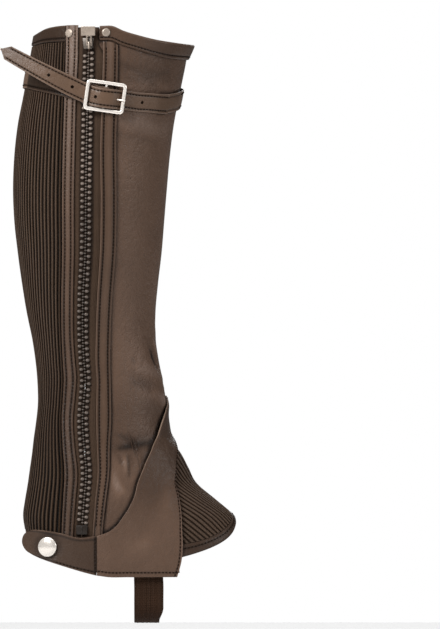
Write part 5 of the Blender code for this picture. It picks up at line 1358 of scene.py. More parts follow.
def build_strap_band():
    """The strap round the calf, turned round the middle bar of the buckle."""
    rows = curve_through(BAND_PATH, 420)
    angle = -rows[:, 0]
    leg_out = leg_normal(angle, rows[:, 1])
    leg_path = leg_point(angle, rows[:, 1]) + leg_out * (rows[:, 2:] + STRAP_LEATHER / 2)
    radius = BUCKLE_MIDDLE_BAR + 0.3 + STRAP_LEATHER / 2
    turn = np.radians(np.linspace(-90, 90, 17))
    along = np.concatenate([[-7.0, -5.0, -3.2], radius * np.cos(turn), [-2.4]])
    low, high = BUCKLE_MIDDLE_OUT - radius, BUCKLE_MIDDLE_OUT + radius
    out = np.concatenate([[2.4, 2.45, low], BUCKLE_MIDDLE_OUT + radius * np.sin(turn), [high - 0.1]])
    face = unit(np.stack([np.gradient(out), -np.gradient(along)], axis=1))
    middle, u, _, n = buckle_place()
    turn_path = in_buckle(np.stack([along, np.zeros(len(along)), out], axis=1))
    turn_out = -(face[:, :1] * u + face[:, 1:] * n)
    keep = ((leg_path - middle) @ u < -9.5) | (np.arange(len(leg_path)) < len(leg_path) // 2)
    path = np.concatenate([leg_path[keep], turn_path])
    across, facing = frames_along(path, np.concatenate([leg_out[keep], turn_out]))
    # Painted shadow of the holed strap on the band behind it.
    behind_tail = -0.85 * ramp(-path[:, 0], 0.0, 14.0) * (path[:, 1] < -20.0)
    strap, lines, inner = strap_wall(path, across, facing, behind_tail)
    slot = solid_block("prong_slot", (8.0, PRONG_WIRE + 0.9, 5.2))
    set_in(slot, buckle_matrix((1.6, PRONG_ACROSS, BUCKLE_MIDDLE_OUT)))
    cut(strap, slot)
    sewn = slice(40, int(keep.sum()) - 10)
    lines = [(line[sewn], facing[sewn]) for line in lines]
    threads = sew("calf_strap_stitches", lines)
    cut_sheet(strap, inner)


def buckle_matrix(spot=(0.0, 0.0, 0.0)):
    """The matrix of the buckle's own place, moved by a spot in millimetres."""
    middle, along, across, out = buckle_place()
    if np.cross(along, across) @ out < 0:
        along = -along
        spot = (-spot[0], spot[1], spot[2])
    centre = middle + along * spot[0] + across * spot[1] + out * spot[2]
    return Matrix.Translation(Vector(centre) * MM) @ Matrix((along, across, out)).transposed().to_4x4()


def set_in(obj, matrix):
    """Moves an object's mesh to a place, and leaves the object itself at the origin."""
    obj.data.transform(matrix)
    if matrix.determinant() < 0:
        obj.data.flip_normals()
    obj.matrix_world = Matrix.Identity(4)


def make_active(*objects):
    """Selects these objects alone, the first of them as the active one."""
    bpy.ops.object.select_all(action="DESELECT")
    for obj in objects:
        obj.select_set(True)
    bpy.context.view_layer.objects.active = objects[0]


def cut(obj, *cutters):
    """Cuts shapes from a piece and removes them."""
    for cutter in cutters:
        boolean = obj.modifiers.new(cutter.name, "BOOLEAN")
        boolean.operation = "DIFFERENCE"
        boolean.object = cutter
        make_active(obj)
        bpy.ops.object.modifier_apply(modifier=boolean.name)
        bpy.data.objects.remove(cutter)


def tail_rows(count, places):
    """The middle surface of the holed strap as rows of points across it, and how far along each row lies."""
    rows = np.array(TAIL_ON_LEG)
    angle = angle_at(rows[:, 0], rows[:, 1])
    on_leg = leg_point(angle, rows[:, 1]) + leg_normal(angle, rows[:, 1]) * (rows[:, 2:] + STRAP_LEATHER / 2)
    flat = np.array(TAIL_IN_BUCKLE)
    in_plane = in_buckle(np.column_stack([flat, tail_rise("out", flat[:, 0])]))
    path = curve_through(np.concatenate([on_leg, in_plane, TAIL_FREE]), count * 6)
    middle, along, across, out = buckle_place()
    place = (path - middle) @ along
    inside = np.abs(place) < 18.0
    path[inside] += out * (tail_rise("out", place[inside]) - (path[inside] - middle) @ out)[:, None]
    length = lengths_along(path)
    close = 1.0 + 2.0 * (length[-1] - length < TAIL_TIP)
    share = np.cumsum(close) - close[0]
    even = np.interp(np.linspace(0, share[-1], count), share, length)
    path = read_rows(even, length, path)
    leg_out = leg_normal(angle_at(path[:, 0], path[:, 2]), path[:, 2])
    share = np.clip((path[:, 0] - 20.0) / 16.0, 0, 1)[:, None]
    level_across, _ = frames_along(path, leg_out * share + out * (1 - share))
    left = even[-1] - even
    width = STRAP_WIDTH - TAIL_NARROWING * np.clip(1 - left / 60.0, 0, 1)
    width = width * np.clip(left / TAIL_TIP, 0.12, 1)
    grid = path[:, None] + level_across[:, None] * (width[:, None, None] * (places - 0.5)[None, :, None])
    place = (grid - middle) @ along
    weight = np.clip((20.0 - np.abs(place)) / 4.0, 0, 1)
    grid += out * (weight * (tail_rise("out", place) - (grid - middle) @ out))[..., None]
    return grid, even


def build_strap_tail():
    """The holed strap, with a raised middle, a sewn channel inside each edge and its end cut to a point."""
    places = shares(9, STRAP_WIDTH, extra=(1.3, 1.8, TAIL_SEAM, 2.6, 3.1))
    grid, length = tail_rows(330, places)
    facing = unit(np.cross(np.gradient(grid, axis=0), np.gradient(grid, axis=1)))
    if (facing[len(grid) // 2, len(places) // 2] @ buckle_place()[3]) < 0:
        facing = -facing
    away = inside_edges(places, STRAP_WIDTH)
    drop = edge_drop(away, 0.4)
    left = (length[-1] - length)[:, None]
    dip = channel(places, STRAP_WIDTH, TAIL_SEAM, depth=0.32)[None] * ramp(left, 3.0, 9.0)
    half = STRAP_LEATHER / 2
    outer = grid + facing * (half - drop[None] + dip)[..., None]
    inner = grid - facing * (half - drop)[None, :, None]
    # Painted shade in the sewn channels, lighter near the edges, and darker over the last 60 mm.
    tone = dip * 2.2 + 0.35 * bell(away, 0.8)[None]
    tone = tone - 0.25 * ramp(length, length[-1] - 60.0, length[-1])[:, None]
    name, names = "holed_strap_leather", ["calf_strap_tail"]
    look = {"tone": tone, "edge_finish": "cut_edge"}
    strap = shell(name, outer, inner, "strap_leather", "leather_trim", names, **look)
    middle, along, _, _ = buckle_place()
    centre_line = grid[:, len(places) // 2]
    prong_place = np.interp(-PRONG_HOLE, -((centre_line - middle) @ along), length)
    cutters = []
    for number in (-1, 1, 2, 3):
        at = prong_place + number * HOLE_SPACING
        centre = Vector(read_rows(at, length, centre_line))
        direction = Vector(read_rows(at, length, facing[:, len(places) // 2]))
        bpy.ops.object.select_all(action="DESELECT")
        bpy.ops.mesh.primitive_cylinder_add(vertices=24, radius=1.3 * MM, depth=5.0 * MM)
        hole = bpy.context.active_object
        turn = direction.to_track_quat("Z", "X").to_matrix().to_4x4()
        set_in(hole, Matrix.Translation(centre * MM) @ turn)
        cutters.append(hole)
    cutters.append(tube("prong_cutter", prong_points(2.0), PRONG_WIRE / 2 + 0.3))
    cut(strap, *cutters)
    sewn = slice(4, int(np.searchsorted(length - length[-1], -7.0)))
    seam_column = int(np.argmin(np.abs(places * STRAP_WIDTH - TAIL_SEAM)))
    lines = []
    for column in (seam_column, -seam_column - 1):
        out = facing[sewn, column]
        lines.append((grid[sewn, column] + out * (half - 0.2), out))
    threads = sew("holed_strap_stitches", lines)
    cut_sheet(strap, inner)


def build_understrap():
    """The elastic strap under the boot: inside the hem on both sides, with a flat stretch under the arch."""
    places = shares(15, UNDER_WIDTH, extra=(1.0, 1.6, 2.2))
    inset = -PANEL_WALL - 0.6 - UNDER_HALF
    lap = np.linspace(PANEL_HEM + UNDER_LAP, PANEL_HEM, 4)
    bend_top = UNDER_LOW + UNDER_TURN
    turn = np.radians(np.linspace(0, 90, 15)[1:])
    middle = angle_at((UNDER_BACK + UNDER_FRONT) / 2, PANEL_HEM)
    flat_side = garment_point(middle, PANEL_HEM, inset)[1] + 1.0
    columns = []
    for share in places:
        reach = UNDER_BACK + (UNDER_FRONT - UNDER_BACK) * share
        side = garment_point(angle_at(reach, lap), lap, inset)
        for down in (0.4, 1.0):
            height = PANEL_HEM + (bend_top - PANEL_HEM) * down
            side = np.append(side, [[reach, side[3, 1] * (1 - down) + flat_side * down, height]], axis=0)
        across, down = flat_side + UNDER_TURN * (1 - np.cos(turn)), bend_top - UNDER_TURN * np.sin(turn)
        half = np.concatenate([side, np.stack([np.full(len(turn), reach), across, down], axis=1)])
        half[:, 0] -= 3.0 * ramp(-half[:, 2], 321.0, 330.4) * share
        columns.append(curve_through(np.concatenate([half, half[::-1] * [1, -1, 1]]), 220))
    grid = np.stack(columns, axis=1)
    facing = unit(np.cross(np.gradient(grid, axis=0), np.gradient(grid, axis=1)))
    away = inside_edges(places, UNDER_WIDTH)
    drop = edge_drop(away, 0.6)
    cords = 0.12 * np.cos(2 * math.pi * places * UNDER_WIDTH / UNDER_CORD) * (away > 0.6)
    outward = 1.0 if facing[len(grid) // 2, 0, 2] < 0 else -1.0
    outer = grid + facing * outward * (UNDER_HALF - drop + cords)[None, :, None]
    inner = grid - facing * outward * (UNDER_HALF - drop)[None, :, None]
    texture = flat_map(np.linspace(0, 1, len(grid)), places, UNDER_WIDTH, UNDER_LENGTH)
    # Painted highlight on the cords and painted shade between them.
    tone = np.broadcast_to(cords * 2.5, grid.shape[:2])
    names = ["understrap"]
    strap = shell("understrap_web", outer, inner, "webbing", "webbing", names, tone, texture)
    cut_sheet(strap, inner)


# Metal and the zip --------------------------------------------------


def tube(name, points, radius, finish=None):
    """A round wire along points in millimetres, with closed rounded ends."""
    data = bpy.data.curves.new(name, "CURVE")
    data.dimensions = "3D"
    path = curve_through(points, 6 * len(points))
    line = data.splines.new("POLY")
    line.points.add(len(path) - 1)
    line.points.foreach_set("co", np.column_stack([path * MM, np.ones(len(path))]).reshape(-1))
    data.bevel_depth = radius * MM
    data.bevel_resolution = 4
    data.use_fill_caps = True
    wire = bpy.data.objects.new(name, data)
    bpy.context.scene.collection.objects.link(wire)
    make_active(wire)
    bpy.ops.object.convert(target="MESH")
    made = bpy.context.active_object
    shape = bmesh.new()
    shape.from_mesh(made.data)
    bmesh.ops.remove_doubles(shape, verts=shape.verts[:], dist=1e-6)
    bmesh.ops.recalc_face_normals(shape, faces=shape.faces[:])
    shape.to_mesh(made.data)
    shape.free()
    made.data.shade_smooth()
    made.data.set_sharp_from_angle(angle=math.radians(50))
    if finish:
        made.data.materials.clear()
        made.data.materials.append(material(finish))
    return made


def prong_points(reach=0.0):
    """The prong: a hook round the middle bar, then forward through the strap to rest on the far bar."""
    radius = BUCKLE_MIDDLE_BAR + 0.25 + PRONG_WIRE / 2
    turn = np.radians(np.linspace(-100, -290, 8))
    hook = [(radius * math.cos(a), PRONG_ACROSS, BUCKLE_MIDDLE_OUT + radius * math.sin(a)) for a in turn]
    rest = BUCKLE_OUT + BUCKLE_THICK + PRONG_WIRE / 2 + 0.25
    forward = [(5.0, 4.5), (9.0, 4.5), (11.2, rest - 0.6), (12.6, rest), (15.4 + reach, rest)]
    return in_buckle(hook + [(along, PRONG_ACROSS, out) for along, out in forward])


def in_edit(obj, mode="FACE"):
    """Opens a mesh for editing with nothing selected."""
    make_active(obj)
    bpy.ops.object.mode_set(mode="EDIT")
    bpy.ops.mesh.select_mode(type=mode)
    bpy.ops.mesh.select_all(action="DESELECT")
    return bmesh.from_edit_mesh(obj.data)


def pick(obj, items, test):
    """Selects the corners, edges or faces of an open mesh that pass a test."""
    for item in items:
        if test(item):
            item.select_set(True)
    bmesh.update_edit_mesh(obj.data)


def solid_block(name, size, spot=(0, 0, 0)):
    """A cube brought to its size and place in millimetres, ready to be shaped."""
    bpy.ops.object.select_all(action="DESELECT")
    bpy.ops.mesh.primitive_cube_add(size=1.0, location=tuple(s * MM for s in spot))
    obj = bpy.context.active_object
    obj.name = name
    bpy.ops.transform.resize(value=tuple(s * MM for s in size))
    bpy.ops.object.transform_apply(location=True, rotation=True, scale=True)
    return obj


def round_edges(obj, width, segments=3):
    """Bevels every sharp edge of a block."""
    in_edit(obj, "EDGE")
    bpy.ops.mesh.edges_select_sharp(sharpness=math.radians(40))
    bpy.ops.mesh.bevel(offset=width * MM, offset_type="OFFSET", segments=segments, affect="EDGES")
    bpy.ops.object.mode_set(mode="OBJECT")


def ring_block(name, size, border, corner, bevel, spot=(0, 0, 0), axis=2):
    """A block with rounded corners and a window through it along one axis, with an even border."""
    obj = solid_block(name, size, spot)
    others = [i for i in range(3) if i != axis]
    if corner:
        shape = in_edit(obj, "EDGE")

        def along_axis(edge):
            a, b = edge.verts
            return all(abs(a.co[i] - b.co[i]) < 1e-7 for i in others)

        pick(obj, shape.edges, along_axis)
        bpy.ops.mesh.bevel(offset=corner * MM, offset_type="OFFSET", segments=5, affect="EDGES")
        bpy.ops.object.mode_set(mode="OBJECT")
    shape = in_edit(obj, "FACE")
    pick(obj, shape.faces, lambda face: abs(face.normal[axis]) > 0.9)
    bpy.ops.mesh.inset(thickness=border * MM)
    bpy.ops.mesh.bridge_edge_loops()
    bpy.ops.object.mode_set(mode="OBJECT")
    round_edges(obj, bevel)
    return obj


def joined(name, objects, finish, matrix, nodes, on="root"):
    """Joins shapes as one piece, moves its mesh into place and gives it its finish."""
    make_active(*objects)
    if len(objects) > 1:
        bpy.ops.object.join()
    obj = bpy.context.active_object
    obj.name = name
    set_in(obj, matrix)
    obj.data.materials.clear()
    obj.data.materials.append(material(finish))
    bpy.ops.object.shade_smooth_by_angle(angle=math.radians(35))
    return fit(obj, nodes, on)


def cross_bar(name, radius, length, spot):
    """A round bar in millimetres that lies across the buckle."""
    bpy.ops.object.select_all(action="DESELECT")
    size = {"vertices": 24, "radius": radius * MM, "depth": length * MM}
    place = tuple(s * MM for s in spot)
    bpy.ops.mesh.primitive_cylinder_add(**size, location=place, rotation=(math.pi / 2, 0, 0))
    obj = bpy.context.active_object
    obj.name = name
    bpy.ops.object.transform_apply(location=True, rotation=True, scale=True)
    return obj


def build_buckle():
    """The nickel buckle with its rounded bars, and its prong."""
    size = (BUCKLE_LENGTH, BUCKLE_WIDTH, BUCKLE_THICK)
    height = BUCKLE_OUT + BUCKLE_THICK / 2
    rounds = (BUCKLE_BORDER, BUCKLE_CORNER, BUCKLE_ROUNDING)
    ring = ring_block("buckle_ring", size, *rounds, (0, 0, height))
    length, spot = BUCKLE_WIDTH - BUCKLE_BAR, (0, 0, BUCKLE_MIDDLE_OUT)
    middle = cross_bar("middle_bar", BUCKLE_MIDDLE_BAR, length, spot)
    joined("buckle_nickel", [ring, middle], "nickel", buckle_matrix(), ["buckle_frame"])
    prong = tube("buckle_prong_wire", prong_points(), PRONG_WIRE / 2, "nickel")
    fit(prong, ["buckle_prong"])


def leg_matrix(angle, height, out):
    """A place on the garment: Z outwards, Y up along it, X towards the front on the outer side."""
    normal = Vector(leg_normal(angle, height))
    return standing(Vector(leg_point(angle, height)) + normal * out, normal)


def standing(spot, normal):
    """A place with Z along the normal and Y as near to upright as that allows."""
    up = Vector((0.0, 0.0, 1.0))
    up = (up - normal * up.dot(normal)).normalized()
    turn = Matrix((up.cross(normal), up, normal)).transposed().to_4x4()
    return Matrix.Translation(Vector(spot) * MM) @ turn


def domed(name, radius, rise, matrix, finish, slot, node, flat=0.0, segments=48):
    """A stud head: a squashed ball cut off flat below, with a rolled rim."""
    bpy.ops.object.select_all(action="DESELECT")
    bpy.ops.mesh.primitive_uv_sphere_add(segments=segments, ring_count=32, radius=radius * MM)
    obj = bpy.context.active_object
    bpy.ops.transform.resize(value=(1.0, 1.0, rise / radius))
    bpy.ops.object.transform_apply(scale=True)
    in_edit(obj, "VERT")
    bpy.ops.mesh.select_all(action="SELECT")
    base = (0, 0, 0.02 * rise * MM)
    bpy.ops.mesh.bisect(plane_co=base, plane_no=(0, 0, 1), clear_inner=True, use_fill=True)
    bpy.ops.object.mode_set(mode="OBJECT")
    for v in obj.data.vertices:
        away = math.hypot(v.co.x, v.co.y) / (radius * MM)
        if flat and v.co.z > flat * rise * MM:
            v.co.z = (flat * rise + 0.12 * (v.co.z / MM - flat * rise)) * MM
        v.co.z *= 1.0 - 0.25 * math.exp(-(((away - 0.86) / 0.05) ** 2)) * (away > 0.5)
    return joined(name, [obj], finish, matrix, [node])


def build_studs():
    """The press stud's cap and the two rivets at the top of the zip."""
    before, behind = (tab_depth("side", SNAP_REACH + step) for step in (7.0, -7.0))
    out = Vector((float(before - behind) / 14.0, -1.0, 0.0)).normalized()
    spot = Vector((SNAP_REACH, float(tab_depth("side", SNAP_REACH)), SNAP_HEIGHT))
    place = standing(spot + out * (OVERLAY_LEATHER + 0.9), out)
    domed("snap_cap_nickel", SNAP_RADIUS, SNAP_RISE, place, "cap_nickel", "nickel", "snap_cap")
    for name, reach, height in RIVETS:
        angle, out = float(angle_at(reach, height)), FACING_OUT + BAND_FLARE * 0.05 + 0.3
        place, look = leg_matrix(angle, height, out), ("bronze", "bronze")
        domed(f"{name}_bronze", RIVET_RADIUS, RIVET_RISE, place, *look, name, flat=0.55, segments=32)


def tape_edge(height):
    """How far in front of the zip the front tape ends, under its facing but for the top."""
    return zip_rows("front_inner", height) + np.interp(height, (100.0, 107.0), (2.4, -2.7))


def build_tapes():
    """The two woven tapes, in the shade of the facings and of the teeth."""
    upward, places = shares(240, TAPE_LENGTH), shares(9, TAPE_WIDTH)
    back = (zip_side("back_inner", -2.4), edge_line(lambda z: -0.4), 1 - places)
    front = (edge_line(lambda z: 0.4), edge_line(tape_edge), places)
    for node, (left, right, away) in (("zip_tape_back", back), ("zip_tape_front", front)):
        grid = panel_grid(left, right, level(TAPE_LOW), level(TAPE_TOP), places, upward)
        away = away * TAPE_WIDTH
        outer, inner = garment_point(*grid, -0.15), garment_point(*grid, -1.0)
        texture = flat_map(upward, places, TAPE_WIDTH, TAPE_LENGTH)
        shade = -0.9 * (1 - ramp(away, 3.6, 5.0)) - 0.75 * ramp(away, 7.8, 9.2)
        look = {"tone": np.broadcast_to(shade, grid[0].shape), "texture": texture}
        tape = shell(f"{node}_cloth", outer, inner, "zip_tape", "zip_tape", [node], **look)
        cut_sheet(tape, inner)


def tooth():
    """One tooth: a knob at its root, a neck, and a smaller head beyond the middle of the zip."""
    root, tip, neck = (2.75 * MM, 0, 0), (0.1 * MM, 0, 0), (1.5 * MM, 0, 0)
    ball = bpy.ops.mesh.primitive_uv_sphere_add
    ball(segments=14, ring_count=9, radius=1.0 * MM, location=root)
    bpy.ops.transform.resize(value=(1.7, 1.35, 1.25))
    knob = bpy.context.active_object
    ball(segments=10, ring_count=7, radius=0.9 * MM, location=tip)
    head = bpy.context.active_object
    size = {"vertices": 8, "radius": 0.5 * MM, "depth": 2.4 * MM}
    bpy.ops.mesh.primitive_cylinder_add(**size, location=neck, rotation=(0, math.pi / 2, 0))
    for obj in (knob, head):
        obj.select_set(True)
    bpy.ops.object.join()


def tooth_places():
    """The teeth's places up the zip: one row on each side, half a pitch apart."""
    places = []
    for side, start in ((1, TEETH_LOW), (-1, TEETH_LOW + TOOTH_PITCH / 2)):
        for height in np.arange(start, TEETH_TOP, TOOTH_PITCH):
            angle = float(zip_middle(height))
            normal = leg_normal(angle, height)
            above, below = (leg_point(zip_middle(z), z) for z in (height + 1.0, height - 1.0))
            up = unit(above - below)
            across = unit(np.cross(up, normal)) * side
            spot = leg_point(angle, height) + normal * TOOTH_OUT
            places.append((spot, np.stack([across, up * side, normal], axis=1)))
    return places


def build_zip():
    """The woven tapes, two rows of moulded teeth that mesh, and the box at the bottom."""
    build_tapes()
    places = tooth_places()
    shape = one_shape(tooth)
    corners = shape[0] / MM
    # Painted highlight on the crowns of the teeth, stronger on the knobs' outer side, brightest near the top
    # of the zip and dimmer lower down.
    lit = ramp(corners[:, 2], 0.2, 1.0) * (0.7 + 0.3 * ramp(corners[:, 0], 1.0, 1.8))
    heights = np.array([spot[2] for spot, _ in places])
    tooth_light_by_height = np.interp(heights, (TEETH_LOW, -170.0, -20.0, 10.0), (0.75, 0.5, 0.5, 1.0))
    crown = lit[None] * tooth_light_by_height[:, None]
    plastic = "zip_plastic"
    copies("zip_teeth", shape, places, plastic, nodes=["zip_chain"], tone=crown)
    height = (BOX_TOP + BOX_BOTTOM) / 2
    place = leg_matrix(float(zip_middle(height)), height, 0.0)
    block = solid_block("box_block", (8.6, 7.2, 3.4), (0, 0, 0.35))
    round_edges(block, 0.7, 4)
    ridge = solid_block("box_ridge", (1.0, 5.2, 0.8), (0, 0, 2.0))
    round_edges(ridge, 0.25, 2)
    joined("zip_box_plastic", [block, ridge], plastic, place, ["zip_box"])


def build_slider():
    """The slider with its bail, and the pull, which turns on it."""
    angle = float(angle_at(zip_rows("line", SLIDER_HEIGHT), SLIDER_HEIGHT))
    place = leg_matrix(angle, SLIDER_HEIGHT, 0.0)
    plate = solid_block("slider_plate", (9.0, 8.4, 1.7), (0, 0, 2.15))
    shape = in_edit(plate, "VERT")
    pick(plate, shape.verts, lambda v: v.co.y < 0)
    bpy.ops.transform.resize(value=(0.72, 1.0, 1.0))
    bpy.ops.object.mode_set(mode="OBJECT")
    round_edges(plate, 0.55, 4)
    back = solid_block("slider_back", (8.2, 7.6, 1.2), (0, 0, -0.9))
    round_edges(back, 0.4, 2)
    neck = solid_block("slider_neck", (2.0, 3.0, 3.0), (0, 2.4, 0.7))
    bail = ring_block("slider_bail", (1.3, 5.4, 3.9), 1.0, 0.0, 0.3, BAIL, axis=0)
    joined("zip_slider_body", [plate, back, neck], "slider_body", place, ["zip_slider"])
    joined("zip_slider_bail", [bail], "bronze", place, [])
    loop = ring_block("pull_loop", (4.4, 8.5, 1.1), 1.1, 0.9, 0.28, (0, 3.7, 0))
    tab = solid_block("pull_tab", (10.9, 7.0, 1.4), (-0.6, 10.9, 0))
    shape = in_edit(tab, "FACE")
    pick(tab, shape.faces, lambda face: face.normal.z > 0.9)
    bpy.ops.mesh.inset(thickness=0.9 * MM, depth=-0.12 * MM)
    bpy.ops.object.mode_set(mode="OBJECT")
    round_edges(tab, 0.22, 3)
    lean = Matrix.Rotation(math.radians(PULL_LEAN), 4, "X")
    hinge = place @ Matrix.Translation(Vector(PULL_HINGE) * MM) @ lean
    joined("zip_pull_bronze", [loop, tab], "bronze", hinge, ["zip_pull"], on="zip_pull")


# Stage --------------------------------------------------------------


# The point at the middle of the picture, how high the picture is there, and the camera's sensor in mm.
PICTURE_MIDDLE = (0.0988, -0.03, -0.0969)
PICTURE_HEIGHT, SENSOR = 0.47804, 36.0
LIGHTS_AIM = (0.02, 0.0, -0.09)


def build_stage():
    """A pale floor, soft studio lights before a white surround, and a camera at the photograph's angle."""
    chosen = bpy.context.scene.half_chap_stage
    bpy.ops.object.select_all(action="DESELECT")
    bpy.ops.mesh.primitive_plane_add(size=2.2, location=(0, 0, chosen.floor_level))
    floor = bpy.context.active_object
    floor.name = "floor"
    pale, _, _ = blank_finish("pale_floor", (0.85, 0.85, 0.85), 0.8, specular=0.2)
    floor.data.materials.append(pale)
    world = bpy.data.worlds.new("studio")
    world.use_nodes = True
    tree = world.node_tree
    soft = tree.nodes["Background"]
    soft.inputs["Color"].default_value = (1.0, 1.0, 1.0, 1.0)
    soft.inputs["Strength"].default_value = chosen.ambient
    plain = {"Color": (1.0, 1.0, 1.0, 1.0), "Strength": chosen.surround}
    white = wire_up(tree, "ShaderNodeBackground", plain)
    seen = wire_up(tree, "ShaderNodeLightPath").outputs["Is Camera Ray"]
    both = wire_up(tree, "ShaderNodeMixShader", {0: seen, 1: soft.outputs[0], 2: white.outputs[0]})
    tree.links.new(both.outputs[0], tree.nodes["World Output"].inputs["Surface"])
    bpy.context.scene.world = world
    bpy.context.scene.view_settings.view_transform = "Standard"
    lights = (
        ("key_light", (-1.1, -1.3, 0.95), 0.7, chosen.key_power),
        ("side_light", (1.8, -0.9, 0.4), 0.7, chosen.side_power),
        ("top_light", (0.2, -0.4, 2.0), 1.0, chosen.top_power),
        ("back_light", (0.3, 1.8, 0.8), 1.2, chosen.back_power),
    )
    aim = Vector(LIGHTS_AIM)
    for name, spot, size, power in lights:
        light = bpy.data.lights.new(name, "AREA")
        light.size = size
        light.energy = power
        lamp = bpy.data.objects.new(name, light)
        lamp.location = spot
        lamp.rotation_euler = (aim - Vector(spot)).to_track_quat("-Z", "Y").to_euler()
        bpy.context.scene.collection.objects.link(lamp)
    lens = bpy.data.cameras.new("photo_camera")
    lens.sensor_fit = "VERTICAL"
    lens.sensor_height = SENSOR
    lens.lens = chosen.lens
    lens.clip_end = 100.0
    camera = bpy.data.objects.new("photo_camera", lens)
    across, near, up = PICTURE_MIDDLE
    camera.location = (across, near - PICTURE_HEIGHT * chosen.lens / SENSOR, up)
    camera.rotation_euler = (math.pi / 2, 0.0, 0.0)
    bpy.context.scene.collection.objects.link(camera)
    bpy.context.scene.camera = camera


# Add-on -------------------------------------------------------------


def colour_property(name, about, default):
    """A colour in the sidebar."""
    limits = {"min": 0.0, "max": 1.0, "subtype": "COLOR"}
    return bpy.props.FloatVectorProperty(name=name, description=about, default=default, **limits)


def length_property(name, about, default):
    """A length in the sidebar, in metres."""
    look = {"unit": "LENGTH", "precision": 5}
    return bpy.props.FloatProperty(name=name, description=about, default=default, **look)


def power_property(name, about, default):
    """A light's power in the sidebar, in watts."""
    return bpy.props.FloatProperty(name=name, description=about, default=default, unit="POWER")


def plain_property(name, about, default):
    """A plain number in the sidebar."""
    return bpy.props.FloatProperty(name=name, description=about, default=default)


class HalfChapColours(bpy.types.PropertyGroup):
    """The colours of the finishes, and the leather's grain."""

    leather: colour_property("Leather", "The leather of panel and overlay", (0.093, 0.0555, 0.0375))
    strap: colour_property("Strap leather", "The leather of the calf strap", (0.095, 0.058, 0.038))
    trim: colour_property("Trim leather", "Facings, bands and bindings", (0.074, 0.044, 0.029))
    cut_edge: colour_property("Cut edge", "Raw edges of the leather", (0.19, 0.135, 0.10))
    elastic: colour_property("Elastic", "The ribbed elastic", (0.026, 0.0138, 0.0068))
    webbing: colour_property("Webbing", "The strap under the boot", (0.025, 0.0120, 0.0063))
    tape: colour_property("Zip tape", "The woven tapes of the zip", (0.044, 0.027, 0.0175))
    thread: colour_property("Thread", "The sewing thread", (0.012, 0.007, 0.0045))
    plastic: colour_property("Zip teeth", "The moulded teeth and the box", (0.013, 0.0088, 0.0062))
    bronze: colour_property("Bronze", "The slider, the pull and the rivets", (0.30, 0.245, 0.20))
    nickel: colour_property("Nickel", "The buckle and the press stud", (0.93, 0.86, 0.79))
    grain: length_property("Grain", "The size of a pebble of the leather's grain", 0.0011)


class HalfChapSewing(bpy.types.PropertyGroup):
    """The sewing."""

    stitch_length: length_property("Stitch", "From one stitch to the next", 0.0027)
    thread: length_property("Thread", "How thick the thread is", 0.0008)


class HalfChapSizes(bpy.types.PropertyGroup):
    """Sizes of the cloth."""

    rib_rise: length_property("Rib height", "How far a rib of the back panel stands out", 0.0012)


class HalfChapStage(bpy.types.PropertyGroup):
    """The floor, the lights and the camera."""

    floor_level: length_property("Floor", "The height of the floor", -0.353)
    surround: plain_property("Surround", "Brightness of the white surround", 1.0)
    ambient: plain_property("Ambient", "Soft light from all round", 0.14)
    key_power: power_property("Key", "Light from the left", 56.0)
    side_power: power_property("Side", "Light from the right", 14.0)
    top_power: power_property("Top", "Light from above", 14.0)
    back_power: power_property("Back", "Light from behind", 14.0)
    lens: plain_property("Lens", "Focal length of the camera in mm", 900.0)


class HALFCHAP_OT_front_panel(bpy.types.Operator):
    """Builds the leather panel and its seam."""

    bl_idname = "halfchap.front_panel"
    bl_label = "Front panel"

    def execute(self, context):
        build_front_panel()
        return {"FINISHED"}


class HALFCHAP_OT_back_elastic(bpy.types.Operator):
    """Builds the ribbed elastic back panel and the binding of its heel edge."""

    bl_idname = "halfchap.back_elastic"
    bl_label = "Back elastic"

    def execute(self, context):
        build_back_elastic()
        return {"FINISHED"}


class HALFCHAP_OT_zip_facings(bpy.types.Operator):
    """Builds the leather strips on both sides of the zip."""

    bl_idname = "halfchap.zip_facings"
    bl_label = "Zip facings"

    def execute(self, context):
        build_zip_facings()
        return {"FINISHED"}


class HALFCHAP_OT_top_bands(bpy.types.Operator):
    """Builds the bands that bind the top edge."""

    bl_idname = "halfchap.top_bands"
    bl_label = "Top bands"

    def execute(self, context):
        build_top_bands()
        return {"FINISHED"}


class HALFCHAP_OT_overlay(bpy.types.Operator):
    """Builds the leather overlay round the ankle."""

    bl_idname = "halfchap.overlay"
    bl_label = "Ankle overlay"

    def execute(self, context):
        build_overlay()
        return {"FINISHED"}


class HALFCHAP_OT_tab(bpy.types.Operator):
    """Builds the closing tab at the ankle."""

    bl_idname = "halfchap.tab"
    bl_label = "Closing tab"

    def execute(self, context):
        build_tab()
        return {"FINISHED"}


class HALFCHAP_OT_gusset(bpy.types.Operator):
    """Builds the ribbed gusset on the instep and its binding."""

    bl_idname = "halfchap.gusset"
    bl_label = "Instep gusset"

    def execute(self, context):
        build_gusset()
        return {"FINISHED"}


class HALFCHAP_OT_understrap(bpy.types.Operator):
    """Builds the elastic strap that runs under the boot."""

    bl_idname = "halfchap.understrap"
    bl_label = "Strap under the boot"

    def execute(self, context):
        build_understrap()
        return {"FINISHED"}


class HALFCHAP_OT_strap_band(bpy.types.Operator):
    """Builds the strap round the calf, turned round the buckle's bar."""

    bl_idname = "halfchap.strap_band"
    bl_label = "Calf strap"

    def execute(self, context):
        build_strap_band()
        return {"FINISHED"}


class HALFCHAP_OT_strap_tail(bpy.types.Operator):
    """Builds the holed end of the calf strap."""

    bl_idname = "halfchap.strap_tail"
    bl_label = "Holed strap"

    def execute(self, context):
        build_strap_tail()
        return {"FINISHED"}


class HALFCHAP_OT_buckle(bpy.types.Operator):
    """Builds the buckle and its prong."""

    bl_idname = "halfchap.buckle"
    bl_label = "Buckle"

    def execute(self, context):
        build_buckle()
        return {"FINISHED"}


